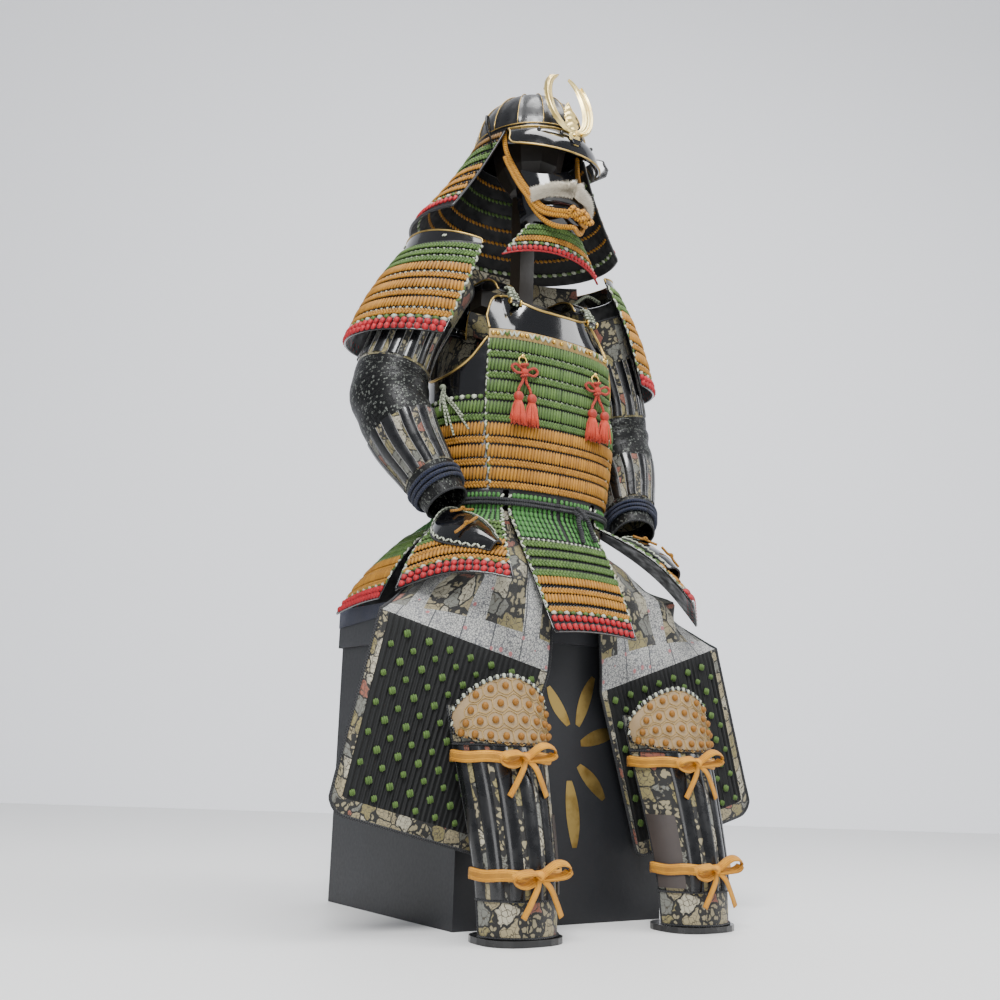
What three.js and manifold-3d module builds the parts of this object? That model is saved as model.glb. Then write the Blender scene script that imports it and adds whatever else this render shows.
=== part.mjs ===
// Samurai armour, seated on its storage box: a hollow suit of laced plates over brocade cloth,
// carried by a plain limbless stand. Millimetres, +Z up, the armour faces -Y, its left side is +X.
// The origin is the middle of the box's underside, on the floor.
import * as THREE from 'three';
import { mergeVertices } from 'three/addons/utils/BufferGeometryUtils.js';
import Module from 'manifold-3d';

const wasm = await Module();
wasm.setup();

// Driving dimensions
const seat = 0.3;             // gap where two pieces meet
const plate = 2.5;            // laced plate wall
const cloth = 2;              // brocade wall
const laceLift = 2.6;         // how far a lace row stands out
const box = { width: 438, depth: 429, height: 534.7, wall: 8 };
const lid = { width: 450, depth: 441, bottom: 470, top: 543, plate: 8 };
const lidCloth = { thick: 1.5, drop: 36 };
const waist = { z: 741.7, flare: 700, halfWidth: 170, front: -179, back: 63 };
const shinX = 182.5;          // middle of each shin guard
const strapX = 92;            // middle of each shoulder strap

const gloss = { black: 0x0c0c0e, gold: 0xb08a3c, green: 0x3f6a2c, ochre: 0xb9862a, red: 0xc01f2a };
const rad = THREE.MathUtils.degToRad;
const lerp = THREE.MathUtils.lerp;
const V = (x, y, z) => new THREE.Vector3(x, y, z);

function steps(from, to, count) {
  return Array.from({ length: count + 1 }, (_, i) => lerp(from, to, i / count));
}

// A smooth curve through the rows of a table, read by one of its columns
function read(table, key, column, at) {
  const last = table.length - 1;
  const x = THREE.MathUtils.clamp(at, table[0][key], table[last][key]);
  let i = 1;
  while (i < last && x > table[i][key]) i += 1;
  const slope = (k) => {
    const [a, b] = [table[Math.max(0, k - 1)], table[Math.min(last, k + 1)]];
    return (b[column] - a[column]) / (b[key] - a[key]);
  };
  const [a, b] = [table[i - 1], table[i]];
  const span = b[key] - a[key];
  const t = (x - a[key]) / span;
  const [t2, t3] = [t * t, t * t * t];
  return (2 * t3 - 3 * t2 + 1) * a[column] + (t3 - 2 * t2 + t) * span * slope(i - 1)
    + (3 * t2 - 2 * t3) * b[column] + (t3 - t2) * span * slope(i);
}

// Closed bodies from faces
function closedBody(corners) {
  const positions = [];
  for (const p of corners) positions.push(p.x, p.y, p.z);
  let geometry = new THREE.BufferGeometry();
  geometry.setAttribute('position', new THREE.Float32BufferAttribute(positions, 3));
  geometry = mergeVertices(geometry, 1e-3);
  const index = [];
  const source = geometry.index.array;
  for (let i = 0; i < source.length; i += 3) {
    const [a, b, c] = [source[i], source[i + 1], source[i + 2]];
    if (a !== b && b !== c && c !== a) index.push(a, b, c);
  }
  geometry.setIndex(index);
  if (volume(geometry) < 0) {
    for (let i = 0; i < index.length; i += 3) [index[i], index[i + 1]] = [index[i + 1], index[i]];
    geometry.setIndex(index);
  }
  return geometry;
}

function volume(geometry) {
  const p = geometry.attributes.position;
  const at = (i) => V(p.getX(i), p.getY(i), p.getZ(i));
  let sum = 0;
  const index = geometry.index.array;
  for (let i = 0; i < index.length; i += 3) {
    sum += at(index[i]).dot(at(index[i + 1]).cross(at(index[i + 2])));
  }
  return sum / 6;
}

// How far along a line of points each one lies, from 0 to 1
function shares(line) {
  const sums = [0];
  for (let i = 1; i < line.length; i += 1) sums.push(sums[i - 1] + line[i].distanceTo(line[i - 1]));
  return sums.map((sum, i) => (sums[line.length - 1] > 0
      ? sum / sums[line.length - 1] : i / (line.length - 1)));
}

// Faces between two lines of points, a along its way and b against it
function strip(a, b, corners) {
  let i = 0;
  let j = 0;
  const [n, m] = [a.length - 1, b.length - 1];
  const even = (line) => line.map((p, k) => k / (line.length - 1));
  const [alongA, alongB] = n === m ? [even(a), even(b)] : [shares(a), shares(b)];
  while (i < n || j < m) {
    if (j === m || (i < n && alongA[i] + alongA[i + 1] <= alongB[j] + alongB[j + 1] + 1e-9)) {
      corners.push(a[i], a[i + 1], b[j]);
      i += 1;
    } else {
      corners.push(a[i], b[j + 1], b[j]);
      j += 1;
    }
  }
}

function skin(rows, corners, turned) {
  for (let r = 0; r + 1 < rows.length; r += 1) {
    if (turned) strip(rows[r], rows[r + 1], corners);
    else strip(rows[r + 1], rows[r], corners);
  }
}

// A wall between an outer and an inner skin, each a list of rows of points
function wallBody(outer, inner, round) {
  const corners = [];
  const close = (row) => (round ? [...row, row[0]] : row);
  const out = outer.map(close);
  const ins = inner.map(close);
  skin(out, corners, false);
  skin(ins, corners, true);
  strip(out[0], ins[0], corners);
  strip(ins[ins.length - 1], out[out.length - 1], corners);
  if (!round) {
    const end = (row) => row[row.length - 1];
    strip(ins.map((row) => row[0]), out.map((row) => row[0]), corners);
    strip(out.map(end), ins.map(end), corners);
  }
  return closedBody(corners);
}

// A cloth or plate wall: point(u, v) is its plain outer face, lift raises rows or ribs on it
function wall({ point, across, down, plainAcross, plainDown, thick, lift = () => 0, out, round = false,
    offset = 0 }) {
  const step = 1e-3;
  const normal = (u, v) => {
    const du = point(u + step, v).sub(point(u - step, v));
    const dv = point(u, v + step).sub(point(u, v - step));
    const n = du.cross(dv).normalize();
    return n.dot(out(point(u, v))) < 0 ? n.negate() : n;
  };
  const at = (u, v, distance) => point(u, v).addScaledVector(normal(u, v), distance);
  const outer = down.map((v) => across.map((u) => at(u, v, offset + lift(u, v))));
  const inner = (plainDown || down).map((v) =>
      (plainAcross || across).map((u) => at(u, v, offset - thick)));
  return wallBody(outer, inner, round);
}

// Rows of lacing down a panel: each row is a low ridge that starts in a groove
function laceRows(rows) {
  const table = [];
  for (const row of rows) {
    table.push({ at: row.from, lift: 0 });
    table.push({ at: lerp(row.from, row.to, 0.5), lift: row.lift });
  }
  table.push({ at: rows[rows.length - 1].to, lift: 0 });
  const lift = (v) => {
    for (let i = 1; i < table.length; i += 1) {
      if (v <= table[i].at + 1e-9) {
        const t = (v - table[i - 1].at) / (table[i].at - table[i - 1].at);
        return lerp(table[i - 1].lift, table[i].lift, THREE.MathUtils.clamp(t, 0, 1));
      }
    }
    return 0;
  };
  return { down: table.map((row) => row.at), lift };
}

// A solid through rings of points, with flat ends
function loft(rings) {
  const corners = [];
  const rows = rings.map((ring) => [...ring, ring[0]]);
  skin(rows, corners, false);
  const fan = (ring, turned) => {
    const middle = ring.reduce((sum, p) => sum.add(p), V(0, 0, 0)).divideScalar(ring.length);
    for (let i = 0; i < ring.length; i += 1) {
      const next = ring[(i + 1) % ring.length];
      if (turned) corners.push(next, ring[i], middle);
      else corners.push(ring[i], next, middle);
    }
  };
  fan(rings[0], false);
  fan(rings[rings.length - 1], true);
  return closedBody(corners);
}

// A cord, band or strap along a smooth way; wide is across the way and thick is off the surface
function cord(way, { wide, thick = wide, sides = 8, count = 16, up = null, taper = () => 1 }) {
  const curve = new THREE.CatmullRomCurve3(way.map((p) => V(...p)));
  const frames = curve.computeFrenetFrames(count, false);
  const rings = steps(0, 1, count).map((t, i) => {
    const middle = curve.getPointAt(t);
    const along = curve.getTangentAt(t);
    let side = frames.binormals[i].clone();
    let rise = frames.normals[i].clone();
    if (up) {
      side = along.clone().cross(up(middle)).normalize();
      rise = side.clone().cross(along).normalize();
    }
    return steps(0, 1, sides).slice(0, sides).map((s) => {
      const a = 2 * Math.PI * (s + 0.5 / sides);
      return middle.clone()
        .addScaledVector(side, Math.cos(a) * wide * 0.5 * taper(t))
        .addScaledVector(rise, Math.sin(a) * thick * 0.5 * taper(t));
    });
  });
  return loft(rings);
}

// Joins and cuts
function solid(geometry) {
  let plain = geometry.clone();
  plain.deleteAttribute('normal');
  plain.deleteAttribute('uv');
  plain = mergeVertices(plain, 1e-4);
  return new wasm.Manifold(new wasm.Mesh({
    numProp: 3,
    vertProperties: new Float32Array(plain.attributes.position.array),
    triVerts: new Uint32Array(plain.index.array),
  }));
}

function geometryOf(manifold) {
  const mesh = manifold.getMesh();
  const geometry = new THREE.BufferGeometry();
  geometry.setAttribute('position', new THREE.BufferAttribute(new Float32Array(mesh.vertProperties), 3));
  geometry.setIndex(new THREE.BufferAttribute(new Uint32Array(mesh.triVerts), 1));
  return geometry;
}

const joined = (...parts) => geometryOf(parts.map(solid).reduce((sum, part) => sum.add(part)));
const cut = (body, ...tools) =>
    geometryOf(tools.map(solid).reduce((sum, tool) => sum.subtract(tool), solid(body)));

function block(width, depth, height, x, y, bottom) {
  const geometry = new THREE.BoxGeometry(width, depth, height);
  geometry.translate(x, y, bottom + height / 2);
  return geometry;
}

function ball(radii, centre, around = 12, down = 8) {
  const geometry = new THREE.SphereGeometry(1, around, down);
  geometry.rotateX(Math.PI / 2);
  geometry.scale(...radii);
  geometry.translate(...centre);
  return geometry;
}

const armour = new THREE.Group();
function add(name, geometry, color, roughness = 0.6, metalness = 0) {
  const mesh = new THREE.Mesh(geometry, new THREE.MeshStandardMaterial({ color, roughness, metalness }));
  mesh.name = name;
  armour.add(mesh);
}

const sides = [
  { name: 'right', s: -1 },
  { name: 'left', s: 1 },
];

// Storage box that the armour sits on: an open-topped box with a lid tray over it
function storageBox() {
  const inside = block(box.width - 2 * box.wall, box.depth - 2 * box.wall, box.height, 0, 0, box.wall);
  add('box_body', cut(block(box.width, box.depth, box.height, 0, 0, 0), inside), 0x2b2c30, 0.5);
  const room = lid.top - lid.plate - lid.bottom;
  const hollow = block(box.width + 2 * seat, box.depth + 2 * seat, room + 1, 0, 0, lid.bottom - 1);
  const tray = block(lid.width, lid.depth, lid.top - lid.bottom, 0, 0, lid.bottom);
  add('box_lid', cut(tray, hollow), 0x34353a, 0.5);
}

// Navy cloth laid over the lid, with one corner hanging down its right side
function lidClothPiece() {
  const top = lid.top + seat + lidCloth.thick;
  const edge = -lid.width / 2 - seat - lidCloth.thick;
  const back = lid.depth / 2 - 1;
  const hang = (y) => lidCloth.drop * (0.2 + 0.8 * (y + back) / (2 * back));
  const point = (u, v) => {
    const y = lerp(-back, back, v);
    if (u <= 3) return V(lerp(215, edge, u / 3), y, top);
    return V(edge, y, top - (u - 3) * hang(y));
  };
  const across = [0, 1, 2, 3, 3.5, 4];
  const outer = steps(0, 1, 4).map((v) => across.map((u) => point(u, v)));
  const inner = steps(0, 1, 4).map((v) => across.map((u) => {
    const p = point(u, v);
    if (u < 3) return V(p.x, p.y, p.z - lidCloth.thick);
    if (u === 3) return V(p.x + lidCloth.thick, p.y, p.z - lidCloth.thick);
    return V(p.x + lidCloth.thick, p.y, u === 4 ? p.z : Math.min(p.z, top - lidCloth.thick - 0.2));
  }));
  add('lid_cloth', wallBody(outer, inner, false), 0x1b2140, 0.9);
}

// Torso section: a boxy oval read from this table, angle 0 in front and 90 at the armour's left
const torso = [
  { z: 742, halfWidth: 170, front: -179, back: 63 },
  { z: 800, halfWidth: 180, front: -181, back: 68 },
  { z: 865, halfWidth: 189, front: -182, back: 73 },
  { z: 940, halfWidth: 189, front: -181, back: 77 },
  { z: 1036, halfWidth: 183, front: -178, back: 78 },
  { z: 1130, halfWidth: 172, front: -168, back: 70 },
  { z: 1230, halfWidth: 150, front: -140, back: 46 },
];
function oval(angle, halfWidth, front, back, fullness = 2.4) {
  const [sin, cos] = [Math.sin(rad(angle)), Math.cos(rad(angle))];
  const power = (value) => Math.sign(value) * Math.abs(value) ** (2 / fullness);
  const middle = (front + back) / 2;
  return [halfWidth * power(sin), middle - (back - front) * 0.5 * power(cos)];
}
function torsoPoint(angle, z) {
  const [x, y] = oval(angle, ...['halfWidth', 'front', 'back'].map((c) => read(torso, 'z', c, z)));
  return V(x, y, z);
}
const fromTorso = (p) => V(p.x, p.y + 55, 0);

// Cuirass: rows of laced plates in front, sides and back
const cuirass = { bottom: 742, frontTop: 1027.7, plates: 7, seam: 47, sidePlates: 4 };
const platePitch = (cuirass.frontTop - cuirass.bottom) / cuirass.plates;
const sideLaced = cuirass.bottom + cuirass.sidePlates * platePitch;
function cuirassRows(top) {
  const rows = [];
  for (let z = cuirass.bottom; z + platePitch * 0.9 < top; z += platePitch) {
    rows.push({ from: z, to: z + platePitch, lift: laceLift + 0.6 });
  }
  return rows;
}
// heights between the bottom edge and a top edge that changes with the angle
function cuirassPanel(from, to, count, laced, topEdge, plainRows = 3) {
  const { down, lift } = laceRows(cuirassRows(laced));
  const bottom = cuirass.bottom;
  const above = [0, 0.35, 0.7, 1];
  const lacedDown = [bottom, ...down, laced].filter((z, i, all) => i === 0 || z > all[i - 1] + 0.5);
  const outerHeights = (angle) => {
    const top = topEdge(angle);
    return top - laced < 1 ? lacedDown : [...lacedDown, ...above.slice(1).map((t) => lerp(laced, top, t))];
  };
  const gap = 0.18;
  const across = steps(from + gap, to - gap, count);
  const normal = (angle, z) => {
    const du = torsoPoint(angle + 0.01, z).sub(torsoPoint(angle - 0.01, z));
    const n = du.cross(V(0, 0, 1)).normalize();
    return n.dot(fromTorso(torsoPoint(angle, z))) < 0 ? n.negate() : n;
  };
  const at = (angle, z, d) => torsoPoint(angle, z).addScaledVector(normal(angle, z), d);
  const rows = outerHeights(across[0]).length;
  const outer = steps(0, rows - 1, rows - 1).map((r) => across.map((angle) => {
    const z = outerHeights(angle)[Math.round(r)];
    return at(angle, z, z > laced - 0.5 || z < bottom + 0.5 ? 0 : lift(z));
  }));
  const inner = steps(0, 1, plainRows).map((t) =>
      across.map((angle) => at(angle, lerp(bottom, topEdge(angle), t), -plate)));
  return wallBody(outer, inner, false);
}
const armhole = [
  { angle: 47, z: 1030 }, { angle: 60, z: 988 }, { angle: 75, z: 966 }, { angle: 90, z: 960 },
  { angle: 105, z: 966 }, { angle: 120, z: 988 }, { angle: 133, z: 1030 },
];
const backEdge = [
  { off: 0, z: 1222 }, { off: 14, z: 1218 }, { off: 23, z: 1196 }, { off: 35, z: 1130 },
      { off: 47, z: 1035 },
];
function cuirassPieces() {
  const { seam } = cuirass;
  add('cuirass_front', cuirassPanel(-seam, seam, 10, cuirass.frontTop, () => cuirass.frontTop),
      gloss.green, 0.85);
  for (const { name, s } of sides) {
    const edge = (angle) => read(armhole, 'angle', 'z', Math.abs(angle));
    const [a, b] = s > 0 ? [seam, 180 - seam] : [seam - 180, -seam];
    add(`cuirass_side_${name}`, cuirassPanel(a, b, 6, sideLaced, edge), gloss.black, 0.3);
  }
  const edge = (angle) => read(backEdge, 'off', 'z', Math.abs(angle - 180));
  add('cuirass_back', cuirassPanel(180 - seam, 180 + seam, 8, cuirass.frontTop, edge), gloss.green, 0.85);
}

// Black chest plate and the studded band under it
const chest = { bottom: 1047, bandBottom: 1028, bandTop: 1046, seam: 46.5 };
const chestEdge = [
  { off: 0, z: 1092 }, { off: 12, z: 1095 }, { off: 22, z: 1108 }, { off: 31, z: 1127 },
  { off: 39, z: 1116 }, { off: 46.5, z: 1076 },
];
function chestPoint(angle, z) {
  const p = torsoPoint(angle, z);
  const rise = Math.max(0, z - chest.bottom) / 80;
  const off = Math.abs(angle) / 31;
  p.y += rise * lerp(-9, 34, Math.min(1, off * off));
  return p;
}
function chestPieces() {
  const across = steps(-chest.seam, chest.seam, 14);
  const edge = (angle) => read(chestEdge, 'off', 'z', Math.abs(angle));
  const point = (u, v) => chestPoint(u, lerp(chest.bottom, edge(u), v));
  const lift = (u, v) => (v > 0.93 ? 2 : 0);
  const down = [0, 0.5, 0.88, 0.94, 1];
  add('chest_plate', wall({ point, across, down, plainDown: [0, 0.5, 1], thick: plate, lift,
      out: fromTorso }), gloss.black, 0.12);
  const bandPoint = (u, v) => torsoPoint(u, lerp(chest.bandBottom, chest.bandTop, v));
  const bandLift = (u, v) => (v > 0.2 && v < 0.8 ? 2.2 : 0.6);
  add('stud_band', wall({
    point: bandPoint, across, down: [0, 0.25, 0.75, 1], plainDown: [0, 1], thick: plate, lift: bandLift,
        out: fromTorso,
  }), 0x7d6635, 0.5);
}

// Tassets: laced skirt panels that hang from the waist and spread over the thighs and the box
const tassets = [
  { name: 'tasset_front', from: -31.5, to: 26, a: [-93, -300, 478], b: [86, -300, 478], bulge: 6, out: 8 },
  { name: 'tasset_front_right', from: -78, to: -36, a: [-338, -190, 533], b: [-197, -322, 555], bulge: 20,
      out: 22 },
  { name: 'tasset_front_left', from: 31, to: 76, a: [197, -322, 555], b: [338, -190, 533], bulge: 20,
      out: 22 },
  { name: 'tasset_side_right', from: -128, to: -82, a: [-250, 190, 532], b: [-262, 0, 545], bulge: 4,
      out: 20 },
  { name: 'tasset_side_left', from: 80, to: 128, a: [262, 0, 545], b: [250, 190, 532], bulge: 4, out: 20 },
  { name: 'tasset_back_right', from: -132.6, to: -177.4, a: [-196, 246, 540], b: [-12, 250, 545], bulge: 4,
      out: 24 },
  { name: 'tasset_back_left', from: 132.6, to: 177.4, a: [196, 246, 540], b: [12, 250, 545], bulge: 4,
      out: 24 },
];
const tassetRows = [
  ...[0, 1, 2, 3].map((i) => ({ from: 0.37 + 0.07 * i, to: 0.44 + 0.07 * i, lift: laceLift })),
  ...[0, 1, 2].map((i) => ({ from: 0.65 + 0.08 * i, to: 0.73 + 0.08 * i, lift: laceLift + 0.6 })),
  { from: 0.89, to: 0.945, lift: 3.4 },
  { from: 0.945, to: 1, lift: 3.4 },
];
function waistPoint(angle, z) {
  const [x, y] = oval(angle, waist.halfWidth, waist.front, waist.back);
  return V(x, y, z);
}
function tassetPoint(row, u, v) {
  const angle = lerp(row.from, row.to, u);
  const top = waistPoint(angle, waist.z);
  const hip = waistPoint(angle, waist.flare);
  const low = V(...row.a).lerp(V(...row.b), u);
  low.z += row.bulge * Math.sin(Math.PI * u);
  const outward = fromTorso(hip).normalize();
  const knee = 0.17;
  if (v <= knee) return top.lerp(hip, v / knee);
  const t = (v - knee) / (1 - knee);
  const p = hip.lerp(low, t);
  return p.addScaledVector(outward, row.out * Math.sin(Math.PI * t) * 0.8).add(V(0, 0,
      row.out * 0.4 * Math.sin(Math.PI * t)));
}
function tassetPieces() {
  const { down, lift } = laceRows(tassetRows);
  for (const row of tassets) {
    add(row.name, wall({
      point: (u, v) => tassetPoint(row, u, v),
      across: steps(0, 1, row.name.includes('front_') ? 5 : 4),
      down: [0, 0.17, ...down],
      plainDown: [0, 0.17, 0.5, 1],
      thick: plate,
      lift: (u, v) => (v < 0.3 ? 0 : lift(v)),
      out: (p) => V(p.x, p.y + 55, 40),
    }), gloss.ochre, 0.85);
  }
}

// Cord sash round the waist, over the tassets' laces, with its knot in front
function sashPiece() {
  const offset = 4.4;
  const middle = 720;
  const angles = steps(0, 360, 36).slice(0, 36);
  const ring = (da, dz) => angles.map((angle) => {
    const p = waistPoint(angle, middle + dz);
    return p.addScaledVector(fromTorso(p).normalize(), offset + da);
  });
  const outer = [ring(-3, 6), ring(5, 0), ring(-3, -6)];
  const inner = [ring(-3.6, 5), ring(-3.6, -5)];
  const band = wallBody(outer, inner, true);
  const knot = ball([17, 10, 12], [43, waist.front - offset - 8, 714], 7, 4);
  const end = cord([[38, -196, 712], [34, -199, 694], [36, -205, 678], [34, -212, 664]],
      { wide: 9, thick: 7, sides: 4, count: 3 });
  const other = cord([[50, -196, 712], [58, -199, 698], [62, -203, 686], [64, -209, 676]],
      { wide: 9, thick: 7, sides: 4, count: 3 });
  add('sash', joined(band, knot, end, other), 0x141826, 0.9);
}

// Waistband and the two thigh guards: brocade aprons whose lower half is a field of laced ribs
const thighBand = { bottom: 680, top: 704 };
const thighs = [
  { name: 'right', s: -1, bandIn: [-58, -239, 416], bandOut: [-392, -239, 494], lowIn: [-166, -239, 112],
      lowOut: [-461, -239, 185] },
  { name: 'left', s: 1, bandIn: [56, -239, 388], bandOut: [340, -239, 487], lowIn: [138, -239, 105],
      lowOut: [423, -239, 185] },
];
const thighRibs = 8;
function bandPoint(angle, z) {
  const p = waistPoint(angle, z);
  return p.addScaledVector(fromTorso(p).normalize(), -plate - 2);
}
function thighPoint(row, u, v) {
  const { s } = row;
  const bezier = (a, b, c, t) => a.clone().lerp(b, t).lerp(b.clone().lerp(c, t), t);
  if (v <= 1) {
    const start = bandPoint(s * lerp(12, 74, u), thighBand.bottom - seat);
    const inner = bezier(bandPoint(s * 12, thighBand.bottom - seat), V(s * 48, -256, 600),
        V(...row.bandIn), v);
    const outer = bezier(bandPoint(s * 74, thighBand.bottom - seat), V(s * 300, -150, 530),
        V(...row.bandOut), v);
    const flat = inner.lerp(outer, u);
    const along = THREE.MathUtils.smoothstep(v, 0, 0.35);
    const p = start.lerp(flat, along).setZ(flat.z);
    const swell = Math.sin(Math.PI * u) * Math.sin(Math.PI * v);
    p.add(V(0, -16 * swell, 22 * swell));
    // over the lid's front edge the cloth hangs clear of the box
    const { smoothstep } = THREE.MathUtils;
    const over = (1 - smoothstep(Math.abs(p.x), 236, 270)) * (1 - smoothstep(p.z, 560, 590));
    p.y = lerp(p.y, Math.min(p.y, -lid.depth / 2 - 11), over);
    return p;
  }
  const t = v - 1;
  const top = V(...row.bandIn).lerp(V(...row.bandOut), u);
  const low = V(...row.lowIn).lerp(V(...row.lowOut), u);
  const edge = 0.09;
  const near = THREE.MathUtils.clamp((edge - Math.min(u, 1 - u)) / edge, 0, 1);
  low.z += 26 * (1 - Math.sqrt(1 - near * near));
  return top.lerp(low, t);
}
function thighPieces() {
  const angles = steps(0, 360, 28).slice(0, 28);
  const ring = (z, d) => angles.map((angle) => {
    const p = bandPoint(angle, z);
    return p.addScaledVector(fromTorso(p).normalize(), d);
  });
  const tops = [thighBand.bottom, thighBand.top];
  add('waistband', wallBody(tops.map((z) => ring(z, 0)), tops.map((z) => ring(z, -cloth)), true), 0x8d8676,
      0.8);
  const border = 0.055;
  const across = [0, border * 0.3, border];
  for (let i = 0; i < thighRibs; i += 1) {
    for (const part of [0.5, 1]) across.push(lerp(border, 1 - border, (i + part) / thighRibs));
  }
  across.push(1 - border * 0.3, 1);
  const ribAt = (u) => {
    const t = ((u - border) / (1 - 2 * border)) * thighRibs;
    return t > 0.01 && t < thighRibs - 0.01 && Math.abs(t - Math.round(t)) > 0.1;
  };
  for (const row of thighs) {
    add(`thigh_guard_${row.name}`, wall({
      point: (u, v) => thighPoint(row, u, v),
      across,
      down: [0, 0.2, 0.42, 0.58, 0.78, 1, 1.12, 1.15, 1.9, 1.93, 2],
      plainAcross: [0, 0.03, 0.09, 0.3, 0.5, 0.7, 0.83, 0.91, 0.97, 1],
      plainDown: [0, 0.2, 0.42, 0.58, 0.78, 1, 2],
      thick: cloth,
      lift: (u, v) => (v > 1.14 && v < 1.91 && ribAt(u) ? 2.4 : 0),
      out: () => V(row.s * 0.2, -1, 0.8),
    }), 0x17181a, 0.8);
  }
}

// Shin guards, each standing on its own plate: upright splints over brocade, open at the back
const shin = [
  { z: 10.3, front: -389, half: 68, depth: 56 },
  { z: 100, front: -384, half: 72, depth: 62 },
  { z: 200, front: -362, half: 78, depth: 66 },
  { z: 276, front: -340, half: 84, depth: 66 },
  { z: 350, front: -314, half: 90, depth: 58 },
  { z: 402, front: -298, half: 92, depth: 50 },
];
const shinOpen = 88;
const shinColumns = 18;
function shinPoint(s, angle, z) {
  const [front, half, depth] = ['front', 'half', 'depth'].map((c) => read(shin, 'z', c, z));
  return V(s * shinX + half * Math.sin(rad(angle)), front + depth * (1 - Math.cos(rad(angle))), z);
}
function bow(s, z, y) {
  const ribbon = { wide: 9, thick: 3.2, sides: 4, count: 4 };
  const at = (x, dy, dz) => [s * shinX + x, y + dy, z + dz];
  const parts = [ball([9, 7, 9], at(0, -4, 0), 6, 4)];
  for (const k of [-1, 1]) {
    const lift = k * 6;
    parts.push(cord([at(k * 3, -4, 2), at(k * 22, -16, 13 + lift), at(k * 46, -14, 10 + lift),
        at(k * 50, -9, lift),
      at(k * 34, -12, -6 + lift), at(k * 3, -4, -3)], ribbon));
    parts.push(cord([at(k * 2, -5, -2), at(k * 12, -14, -16), at(k * 24, -14, -38), at(k * 34, -12, -56)],
      { ...ribbon, wide: 11, count: 2 }));
  }
  return parts;
}
function shinPieces() {
  const across = steps(-shinOpen, shinOpen, shinColumns);
  const heights = [10.3, 62, 66, 140, 210, 276, 284, 288, 320, 350];
  for (const { name, s } of sides) {
    const out = (p) => V(p.x - s * shinX, p.y + 250, 0);
    const foot = (z) => steps(0, 360, 24).slice(0, 24).map((angle) => {
      const [x, y] = oval(angle, 71, -393, -278, 2.6);
      return V(s * shinX + x, y, z);
    });
    add(`shin_base_${name}`, loft([foot(0), foot(10)]), 0x101012, 0.35);
    add(`shin_guard_${name}`, wall({
      point: (u, z) => shinPoint(s, u, z),
      across,
      down: heights,
      plainAcross: steps(-shinOpen, shinOpen, shinColumns / 2),
      plainDown: [10.3, 100, 210, 276, 350],
      thick: 3,
      lift: (u, z) => (z > 65 && z < 285 && Math.round((u + shinOpen) / (2 * shinOpen)
          * shinColumns) % 3 !== 0 ? 2.2 : 0),
      out,
    }), 0x15161a, 0.5);
    const patchEnd = shinOpen * (1 - 2 / shinColumns);
    const patchTop = (angle) => 402 - 66 * Math.abs(angle / patchEnd) ** 1.7;
    const patchLow = (angle) => 291 + 14 * (angle / patchEnd) ** 2;
    const rows = 7;
    add(`knee_patch_${name}`, wall({
      point: (u, v) => shinPoint(s, u, lerp(patchLow(u), patchTop(u), v)),
      across: across.slice(1, -1),
      down: steps(0, 1, rows),
      plainDown: steps(0, 1, 2),
      thick: 2.6,
      offset: 3.5,
      lift: (u, v) => {
        const [i, j] = [Math.round((u + patchEnd) / (2 * patchEnd) * (shinColumns - 2)),
            Math.round(v * rows)];
        const staggered = (i + (Math.floor(j / 2) % 2) * 2) % 4 === 2;
        return j % 2 === 1 && j < rows && staggered && i > 1 && i < shinColumns - 3 ? 4.5 : 0;
      },
      out,
    }), 0xa8926b, 0.8);
    for (const { end, z } of [{ end: 'upper', z: 272 }, { end: 'lower', z: 100 }]) {
      const ring = (dz, d) => {
        const front = steps(-shinOpen, shinOpen, 12).map((angle) => {
          const p = shinPoint(s, angle, z + dz);
          return p.addScaledVector(V(Math.sin(rad(angle)), -Math.cos(rad(angle)) * 0.95, 0).normalize(), d);
        });
        const p = shinPoint(s, 90, z + dz);
        const half = p.x - s * shinX;
        const back = [half + 2, -half - 2].map((x) => V(s * shinX + x, p.y + 5 + d, p.z));
        return [...front, ...back];
      };
      const band = wallBody([ring(7, 6), ring(-7, 6)], [ring(7, 3.2), ring(-7, 3.2)], true);
      const front = shinPoint(s, 0, z).y - 6;
      add(`shin_tie_${end}_${name}`, joined(band, ...bow(s, z, front)), 0xc8922b, 0.8);
    }
  }
}

// Sleeves: brocade tubes bent at the elbow, with splints on the upper arm and the forearm
const arm = [
  { v: 0, x: 178, xLeft: 178, y: -30, z: 1160, wide: 62, deep: 84 },
  { v: 0.2, x: 224, xLeft: 216, y: -24, z: 1080, wide: 66, deep: 80 },
  { v: 0.4, x: 258, xLeft: 250, y: -20, z: 1000, wide: 63, deep: 80 },
  { v: 0.56, x: 276, xLeft: 262, y: -22, z: 925, wide: 68, deep: 80 },
  { v: 0.72, x: 262, xLeft: 256, y: -58, z: 840, wide: 62, deep: 72 },
  { v: 0.86, x: 238, xLeft: 236, y: -100, z: 768, wide: 50, deep: 56 },
  { v: 1, x: 216, xLeft: 217, y: -142, z: 704, wide: 39, deep: 40 },
];
const sleeveColumns = 14;
function armCurve(s, column) {
  const x = (row) => s * (s > 0 ? row.xLeft : row.x);
  return new THREE.CatmullRomCurve3(arm.map((row) =>
      (column ? V(row[column], 0, 0) : V(x(row), row.y, row.z))));
}
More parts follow.
